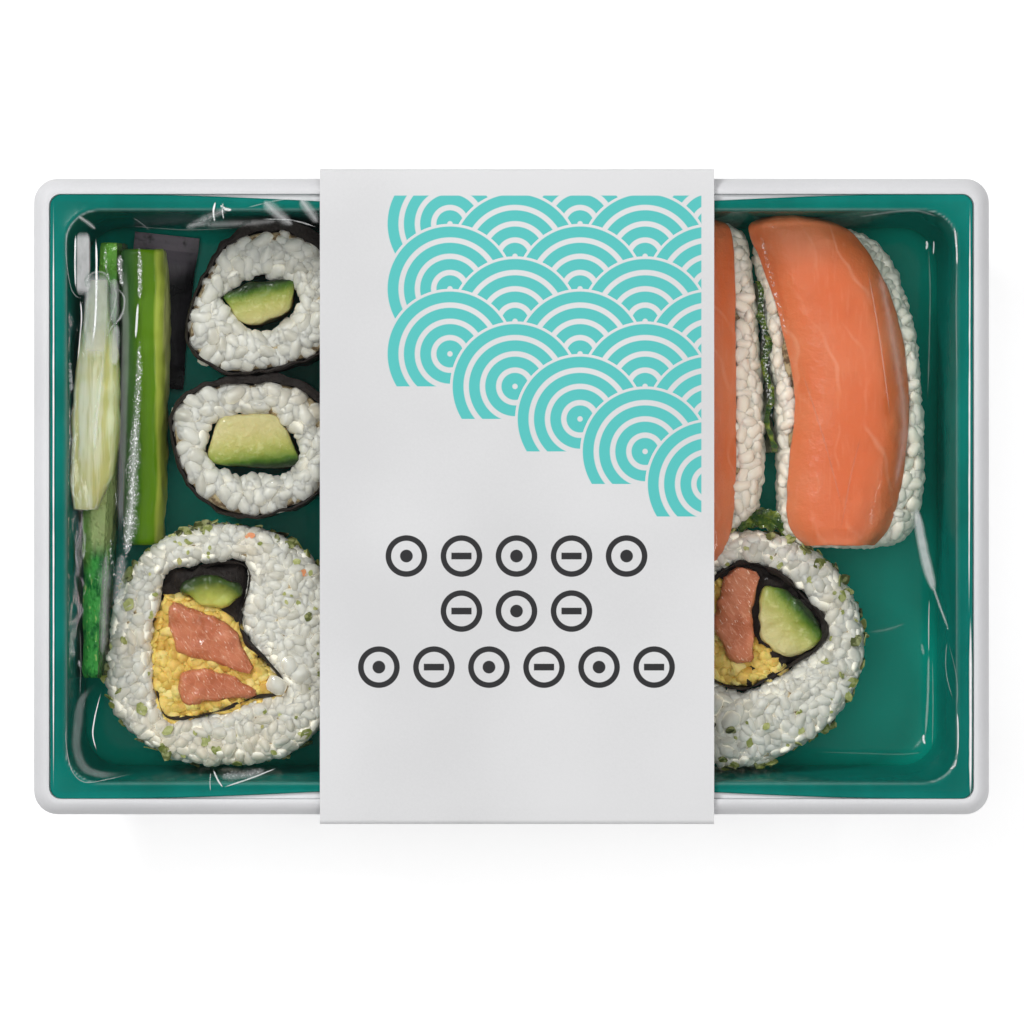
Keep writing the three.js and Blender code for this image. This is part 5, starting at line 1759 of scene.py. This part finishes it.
class SUSHI_OT_film(bpy.types.Operator):
    """Lay the clear film over the flange and the food"""

    bl_idname = "sushi.film"
    bl_label = "Film"

    SAG = 0.0018  # how far the film comes down in each round of evening out
    # The lift holds for the painted highlight strips as it does for the folds.
    FOLD_LIFT = 0.08  # how far the folds lie above the sheet
    # Folds in the film, and painted highlights on it (glints on the liner's edges and the batons, a softbox's
    # reflection): width, whiteness, glint, how soft its sides are, then the points of its line.
    # A softness below 0.2 makes an even pane with round ends, and one above 0.85 a ragged smear.
    FOLDS_AND_GLINTS = (
        (0.45, 0.95, 0, 0.4, ((-91.6, 60.5), (-91.6, 0), (-91.6, -60.5))),
        (0.45, 0.9, 0, 0.4, ((91.7, 60), (91.6, 20), (91.5, -25))),
        (0.7, 0.9, 0, 0.3, ((91.8, -23), (91.8, -45), (91.8, -60.5))),
        (1.4, 0.55, 0, 0.9, ((-86.7, 56.1), (-85, 55.0), (-83.1, 53.4))),
        (0.25, 0.45, 0, 0.5, (
            (-86.5, 55.9), (-88.6, 53.4), (-89.1, 48.9), (-88.3, 42.5), (-87.2, 40.2), (-85.6, 39.5),
        )),
        (3.2, 0.66, 0, 0.1, ((-85.7, 53.2), (-85.7, 47), (-85.8, 39.9))),
        (0.45, 1.0, 0, 0.3, ((-87.2, 52.6), (-87.3, 47), (-87.2, 41.5))),
        (0.55, 1.0, 0, 0.3, ((-83.2, 51.8), (-83.1, 46), (-83.3, 36), (-84.0, 30))),
        (1.4, 0.5, 0.9, 0.7, ((-78.5, 48.6), (-78.4, 45.5), (-78.0, 42))),
        (0.8, 0.3, 0.8, 0.7, ((-81.4, 50.6), (-81.2, 46), (-80.6, 43))),
        (5.6, 0.5, 0, 0.15, ((-82.9, 45.2), (-83.0, 40), (-83.3, 33), (-83.6, 27))),
        (1.6, 0.5, 0, 0.9, ((-84.4, 43.5), (-85.0, 38), (-85.4, 32))),
        (3.0, 0.5, 0, 0.7, ((-79.6, 44.0), (-79.6, 40), (-79.8, 34))),
        (0.9, 0.5, 0, 0.9, (
            (-85.9, 40.1), (-85.1, 43.3), (-83.7, 44.8), (-81.7, 44.8), (-80.5, 43.3), (-80.3, 41.3),
        )),
        (0.8, 0.6, 0, 0.9, (
            (-79.5, 42.1), (-77.9, 40.5), (-77.6, 38.5), (-78.3, 36.1), (-80.3, 33.7), (-81.3, 31.3),
        )),
        (0.8, 0.5, 0, 0.9, ((-80.5, 43.3), (-79.3, 41.3), (-79.5, 38.5), (-80.5, 35.3), (-81.3, 32.1))),
        (2.4, 0.55, 0, 0.4, ((-79.3, 35.0), (-79.5, 30), (-79.7, 26.0))),
        (0.4, 0.85, 0, 0.6, ((-86.3, 39.3), (-86.1, 35.3), (-86.9, 26.1))),
        (1.3, 0.5, 0, 0.9, ((-81.5, 30), (-82.6, 20), (-83.8, 8))),
        (0.25, 0.35, 0, 0.5, ((-75.7, 55.7), (-74.2, 54.8), (-72.3, 53.1))),
        (0.35, 0.3, 0, 0.8, ((-77.1, 54.2), (-65, 53.4), (-54.3, 53.9))),
        (3.4, 0.5, 0, 1.0, ((-65.5, 53.6), (-61, 55.6), (-56.5, 57.7))),
        (0.5, 0.8, 0, 0.5, ((-57.7, 58.8), (-57.8, 57), (-57.6, 55.4))),
        (0.6, 1.0, 0, 0.3, ((-59.2, 59.0), (-59.6, 57), (-59.4, 54.9))),
        (0.9, 0.85, 0, 0.6, ((-58.3, 58.3), (-57.2, 57.5), (-55.9, 57.3))),
        (0.4, 0.45, 0, 0.5, ((-53.1, 57.7), (-48, 59.0), (-43.1, 59.8))),
        (3.6, 0.62, 0, 1.0, ((-49.6, 59.3), (-47.2, 56.8), (-43.5, 54.2))),
        (3.2, 0.62, 0, 1.0, ((-42.3, 59.6), (-40.6, 57.4), (-38.6, 54.6))),
        (2.4, 0.4, 0, 1.0, ((-66, 54.4), (-55, 54.6), (-46, 55.2))),
        (0.4, 0.6, 0, 0.5, ((-50.2, 55.5), (-44, 55.3), (-38.9, 53.9))),
        (2.8, 0.3, 0, 0.6, ((-77.4, 49), (-77.4, 30), (-78.0, 10), (-78.6, -11))),
        (1.2, 0.45, 1.0, 0.6, ((-74.6, 50), (-74.5, 44), (-74.7, 39.4))),
        (0.6, 0.85, 0.3, 0.3, ((-74.9, 39.0), (-75.2, 35), (-75.4, 31.6))),
        (1.8, 0.45, 1.0, 0.9, ((-74.6, 31.5), (-75.0, 20), (-75.6, 8))),
        (3.4, 0.58, 0.9, 1.0, ((-75.3, 18), (-76.2, -1), (-77.4, -12.5))),
        (3.2, 0.42, 0.1, 1.0, ((-81.2, -10), (-81.6, -21), (-82.0, -33))),
        (3.4, 0.42, 0.2, 0.8, ((-78.0, -11.0), (-78.6, -17), (-79.2, -24))),
        (0.9, 0.1, 0.8, 0.8, ((-80.4, -8), (-80.2, -13), (-79.2, -17))),
        (0.25, 0.35, 0, 0.5, ((-86.4, -26), (-86.2, -33), (-86.4, -40.7))),
        (2.6, 0.3, 0, 0.35, (
            (-83.2, -37.5), (-85.9, -40.5), (-86.7, -45), (-87.0, -50), (-85.6, -54), (-82, -55.6),
            (-75.5, -55.4),
        )),
        (0.35, 0.9, 0, 0.4, ((-82.2, -39.1), (-83.4, -44), (-83.8, -47.7), (-83.0, -51))),
        (0.25, 0.5, 0, 0.5, (
            (-88.8, -43.5), (-89.1, -48.8), (-88.0, -54.6), (-85.4, -57.1), (-81, -56.6), (-74.5, -55.1),
        )),
        (0.5, 0.8, 0, 0.5, ((-59.7, -54.7), (-58.8, -56.6), (-57.7, -58.2))),
        (0.45, 0.75, 0, 0.5, ((-57.7, -58.2), (-52.3, -56.4), (-46.9, -54.3))),
        (2.6, 0.4, 0.2, 0.8, ((-58.4, -56.0), (-54, -55.8), (-49, -54.8))),
        (0.25, 0.7, 0, 0.5, ((-60.2, -55.2), (-60.3, -57), (-60.2, -59.0))),
        (0.5, 0.75, 0.4, 0.5, ((88.6, 53.9), (89.0, 50), (89.1, 46))),
        (0.25, 0.35, 0, 0.6, ((89.1, 46), (88.9, 38), (89.1, 22.5))),
        (0.5, 0.28, 0, 0.7, ((83.4, 51), (83.8, 41.5), (83.6, 28), (83.3, 19))),
        (0.8, 0.75, 0, 0.7, ((83.0, 51.2), (83.2, 50.4), (83.0, 49.4))),
        (0.4, 0.7, 0, 0.5, ((84.5, 51.2), (84.5, 50), (84.4, 48.4))),
        (0.8, 0.3, 0, 0.7, ((67.7, 55.6), (76, 56.9), (81.3, 57.1), (86, 55.7))),
        (2.7, 0.6, 0, 0.5, ((80.9, -1.5), (82.7, -11.5), (84.8, -19.5))),
        (0.7, 0.5, 0, 0.4, ((84.3, -17.5), (85.6, -21.5), (87.6, -27.0))),
        (0.35, 0.6, 0, 0.5, ((83.7, -20.3), (83.6, -26), (83.6, -31.5))),
        (0.7, 0.4, 0, 0.6, ((83.6, -31), (83.4, -40), (82.8, -48.8))),
        (0.25, 0.35, 0, 0.5, ((84.3, -32), (84.4, -42), (84.2, -50.5))),
        (0.9, 0.9, 0, 0.8, ((82.6, -47.6), (82.5, -48.6), (82.8, -49.6))),
        (0.5, 0.25, 0, 0.8, ((60, -51.1), (76.7, -51.6), (82.4, -51.2))),
        (1.2, 0.25, 0, 0.9, ((71.8, -27.3), (75.8, -26.6), (79.0, -25.4))),
        (0.9, 0.4, 0, 0.9, ((82.2, -29.4), (82.4, -30.6), (82.6, -31.8))),
        (0.25, 0.45, 0, 0.5, ((87.2, -28.9), (86.9, -32), (87.1, -36), (88.4, -41))),
        (0.25, 0.35, 0, 0.5, ((87.3, -28.7), (88.8, -35), (89.2, -39), (88.9, -43))),
        (0.4, 0.85, 0, 0.5, ((89.1, -42.9), (89.3, -46.1), (89.3, -49.7), (89.1, -52.1))),
        (0.6, 0.7, 0.6, 0.6, ((89.0, -52.4), (88.6, -53.8), (87.6, -54.6))),
        (5.0, 0.3, 0, 1.0, ((72.9, 48.5), (76.3, 32.5), (78.7, 14.5), (76.3, -1))),
        (0.35, 0.35, 0, 0.5, ((71.3, 46), (73.7, 32.5), (76.1, 14.5))),
        (0.4, 0.3, 0, 0.9, ((58.0, 26), (62.5, 12), (66.5, -3))),
        (0.4, 0.3, 0, 0.9, ((70.0, 12), (68.0, 4), (66.0, -7))),
        (1.6, 0.1, 0.7, 0.9, ((49.7, 43), (50.9, 31), (52.3, 15))),
        (1.2, 0.1, 0.5, 0.9, ((49.9, 52.6), (52.6, 42), (55.4, 32))),
    )

    def execute(self, context):
        film = project().film
        cell = film.cell / MM
        xs, ys = (np.arange(-half, half + 0.1, cell) for half in (91, 59))
        heights, creases = self.draped(xs, ys, film)
        bm = bmesh.new()
        bmesh.ops.create_grid(bm, x_segments=len(xs) - 1, y_segments=len(ys) - 1, size=1)
        crease, glitter = (bm.verts.layers.float.new(name) for name in ("crease", "glitter"))
        for v in bm.verts:
            i = round((v.co.x + 1) / 2 * (len(xs) - 1))
            j = round((v.co.y + 1) / 2 * (len(ys) - 1))
            v.co = (xs[i], ys[j], heights[j, i])
            v[crease] = creases[j, i]
        self.trim_edges(bm)
        # Folds and painted highlight strips, each whitened and given its painted glints.
        for wide, white, glint_share, soft, points in self.FOLDS_AND_GLINTS:
            for v, share in self.fold(bm, wide, soft, points):
                i = np.clip(round((v.co.x - xs[0]) / cell), 0, len(xs) - 1)
                j = np.clip(round((v.co.y - ys[0]) / cell), 0, len(ys) - 1)
                v.co.z = min(FILM_TOP, heights[j, i] + self.FOLD_LIFT)
                v[crease] = white * share
                v[glitter] = glint_share * share
        finished("lid_film_sheet", bm, film_paint(film), "film", "lid_film", sharp=180)
        return {"FINISHED"}

    def fold(self, bm, wide, soft, points):
        """A narrow strip of film along a line; gives its points, and how far each is inside the strip."""
        steps = 10 * len(points)
        made = bmesh.ops.create_grid(bm, x_segments=steps, y_segments=6, size=1)["verts"]
        for v in made:
            along, across = (v.co.x + 1) / 2, v.co.y
            at = smooth_point(points, along)
            ahead = smooth_point(points, min(1, along + 0.02)) - smooth_point(points, max(0, along - 0.02))
            side = Vector((-ahead.y, ahead.x)).normalized()
            if soft < 0.2:
                taper = max(0.12, fullness(along, 6))
            else:
                taper = max(0.1, min(1, 3.5 * along, 3.5 * (1 - along)) ** 0.6)
                ragged = 0.5 if soft > 0.85 else 0.6 / (1 + wide)
                taper *= 1 + ragged * noise.noise((at.x * 0.4, at.y * 0.4, 3.3 + 0.4 * across))
            spot = at + side * across * wide / 2 * taper
            v.co = (spot.x, spot.y, 0)
            ends = min(1, (1 - abs(2 * along - 1)) / 0.3)
            yield v, min(1, (1 - abs(across)) / (0.2 + 0.8 * soft)) * ends

    def trim_edges(self, bm):
        """Takes off the film outside the flange's bowed long edges."""

        def outside(v):
            along = min(1, abs(v.co.x) / (FLANGE.x - 2.4))
            return abs(v.co.y) > FLANGE.y - 0.6 - FLANGE_BOW * (1 - along**2) ** 3

        bmesh.ops.delete(bm, geom=[v for v in bm.verts if outside(v)], context="VERTS")

    def food_heights(self, xs, ys):
        """The height of the topmost food under each point of the film."""
        depsgraph = bpy.context.evaluated_depsgraph_get()
        skip = ("board", "liner", "card", "lid")
        heights = np.full((len(ys), len(xs)), FOOD_Z)
        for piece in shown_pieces():
            if piece.name.startswith(skip):
                continue
            tree = BVHTree.FromObject(piece, depsgraph)
            corners = np.array(piece.bound_box) / MM
            (x0, y0), (x1, y1) = corners.min(0)[:2], corners.max(0)[:2]
            for j in np.flatnonzero((ys >= y0) & (ys <= y1)):
                for i in np.flatnonzero((xs >= x0) & (xs <= x1)):
                    spot = tree.ray_cast(Vector((xs[i], ys[j], ABOVE)) * MM, DOWN)[0]
                    if spot and spot.z / MM > heights[j, i]:
                        heights[j, i] = spot.z / MM
        return heights

    def draped(self, xs, ys, film):
        """Film heights, fixed on the flange, resting on the food and sunk a little between, and creases: a
        painted highlight line along the mouth.
        """
        gap = film.gap / MM
        rest = FLANGE_Z + gap
        food = self.food_heights(xs, ys) + gap
        gx, gy = np.meshgrid(xs, ys)
        dx, dy = (abs(g) - half + MOUTH_CORNER for g, half in zip((gx, gy), MOUTH))
        straight = np.minimum(np.maximum(dx, dy), 0)
        outside = np.hypot(np.maximum(dx, 0), np.maximum(dy, 0)) + straight - MOUTH_CORNER
        free = outside < -0.4
        heights = np.full(food.shape, rest)
        for stride, rounds in ((4, 500), (2, 400), (1, 200)):  # coarse first, then finer
            part = (slice(None, None, stride), slice(None, None, stride))
            loose = self.relaxed(heights[part], food[part], free[part], rest, self.SAG * stride**2, rounds)
            wide = np.repeat(np.repeat(loose, stride, 0), stride, 1)[: len(ys), : len(xs)]
            heights = np.where(free, wide, rest)
        # A painted highlight line follows the liner's mouth, where the film bends over its edge.
        creases = 0.42 * np.exp(-(((outside - 0.3) / 0.3) ** 2))
        draw = np.random.default_rng(11)
        crinkle = draw.normal(size=heights.shape)
        for _ in range(3):
            beside = np.roll(crinkle, 1, 0) + np.roll(crinkle, 1, 1) + np.roll(crinkle, -1, 0)
            crinkle = (crinkle + beside) / 4
        heights += np.where(free, crinkle * film.wrinkle / MM, 0)
        return np.minimum(heights, FILM_TOP), creases

    def relaxed(self, heights, food, free, rest, pull, rounds):
        """Heights after so many rounds of evening out, each pulled down a little but kept above the food."""
        for _ in range(rounds):
            around = heights.copy()
            around[1:-1, 1:-1] = (
                heights[2:, 1:-1] + heights[:-2, 1:-1] + heights[1:-1, 2:] + heights[1:-1, :-2]
            ) / 4
            heights = np.where(free, np.maximum(around - pull, food), rest)
        return heights


class SUSHI_OT_sleeve(bpy.types.Operator):
    """Make the printed card sleeve round the middle"""

    bl_idname = "sushi.sleeve"
    bl_label = "Card sleeve"

    def execute(self, context):
        low, high = SLEEVE_LOW, SLEEVE_HIGH
        bm = bmesh.new()
        edges = rounded_ring(bm, high.y, (high.z - low.z) / 2, 0.9, 0)
        turn = Matrix(((0, 0, 1), (1, 0, 0), (0, 1, 0)))
        bmesh.ops.rotate(bm, verts=bm.verts, cent=(0, 0, 0), matrix=turn)
        bmesh.ops.translate(bm, verts=bm.verts, vec=(low.x, 0, (high.z + low.z) / 2))
        steps = 16
        for _ in range(steps):
            grown = bmesh.ops.extrude_edge_only(bm, edges=edges)["geom"]
            fresh = [g for g in grown if isinstance(g, bmesh.types.BMVert)]
            bmesh.ops.translate(bm, verts=fresh, vec=((high.x - low.x) / steps, 0, 0))
            edges = [g for g in grown if isinstance(g, bmesh.types.BMEdge) and g.is_boundary]
        bmesh.ops.recalc_face_normals(bm, faces=bm.faces)
        bmesh.ops.solidify(bm, geom=list(bm.faces), thickness=0.45)
        in_order(bm)
        finished("card_sleeve_band", bm, card_paint(project().sleeve), "card", "card_sleeve", sharp=30)
        return {"FINISHED"}


class SUSHI_PT_tray(bpy.types.Panel):
    """Steps that make the tray, in order"""

    bl_idname = "SUSHI_PT_tray"
    bl_label = "Sushi tray"
    bl_space_type = "VIEW_3D"
    bl_region_type = "UI"
    bl_category = "Sushi tray"

    def draw(self, context):
        for step in STEPS:
            self.layout.operator(step.bl_idname)
        for group in ("stage", "trays", "film", "sleeve", "rice", "food"):
            settings = getattr(context.scene.sushi_tray, group)
            for name in settings.bl_rna.properties.keys()[2:]:
                self.layout.prop(settings, name)


SETTINGS = (
    StageSettings, TraySettings, FilmSettings, SleeveSettings, RiceSettings, FoodSettings, TrayProject
)
STEPS = (
    SUSHI_OT_stage, SUSHI_OT_trays, SUSHI_OT_small_rolls, SUSHI_OT_large_rolls, SUSHI_OT_nigiri,
    SUSHI_OT_divider, SUSHI_OT_batons, SUSHI_OT_sachet, SUSHI_OT_film, SUSHI_OT_sleeve,
)


def register():
    for kind in (*SETTINGS, *STEPS, SUSHI_PT_tray):
        bpy.utils.register_class(kind)
    bpy.types.Scene.sushi_tray = PointerProperty(
        type=TrayProject, name="Sushi tray", description="The tray's settings"
    )


def unregister():
    del bpy.types.Scene.sushi_tray
    for kind in reversed((*SETTINGS, *STEPS, SUSHI_PT_tray)):
        bpy.utils.unregister_class(kind)


def main():
    register()
    bpy.ops.sushi.stage()
    bpy.ops.sushi.trays()
    bpy.ops.sushi.small_rolls()
    bpy.ops.sushi.large_rolls()
    bpy.ops.sushi.nigiri()
    bpy.ops.sushi.divider()
    bpy.ops.sushi.batons()
    bpy.ops.sushi.sachet()
    bpy.ops.sushi.film()
    bpy.ops.sushi.sleeve()
    boxes = {"cad_box": CAD_BOX, "visual_box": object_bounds()}
    {key: [list(corner) for corner in box] for key, box in boxes.items()}


if __name__ == "__main__":
    main()
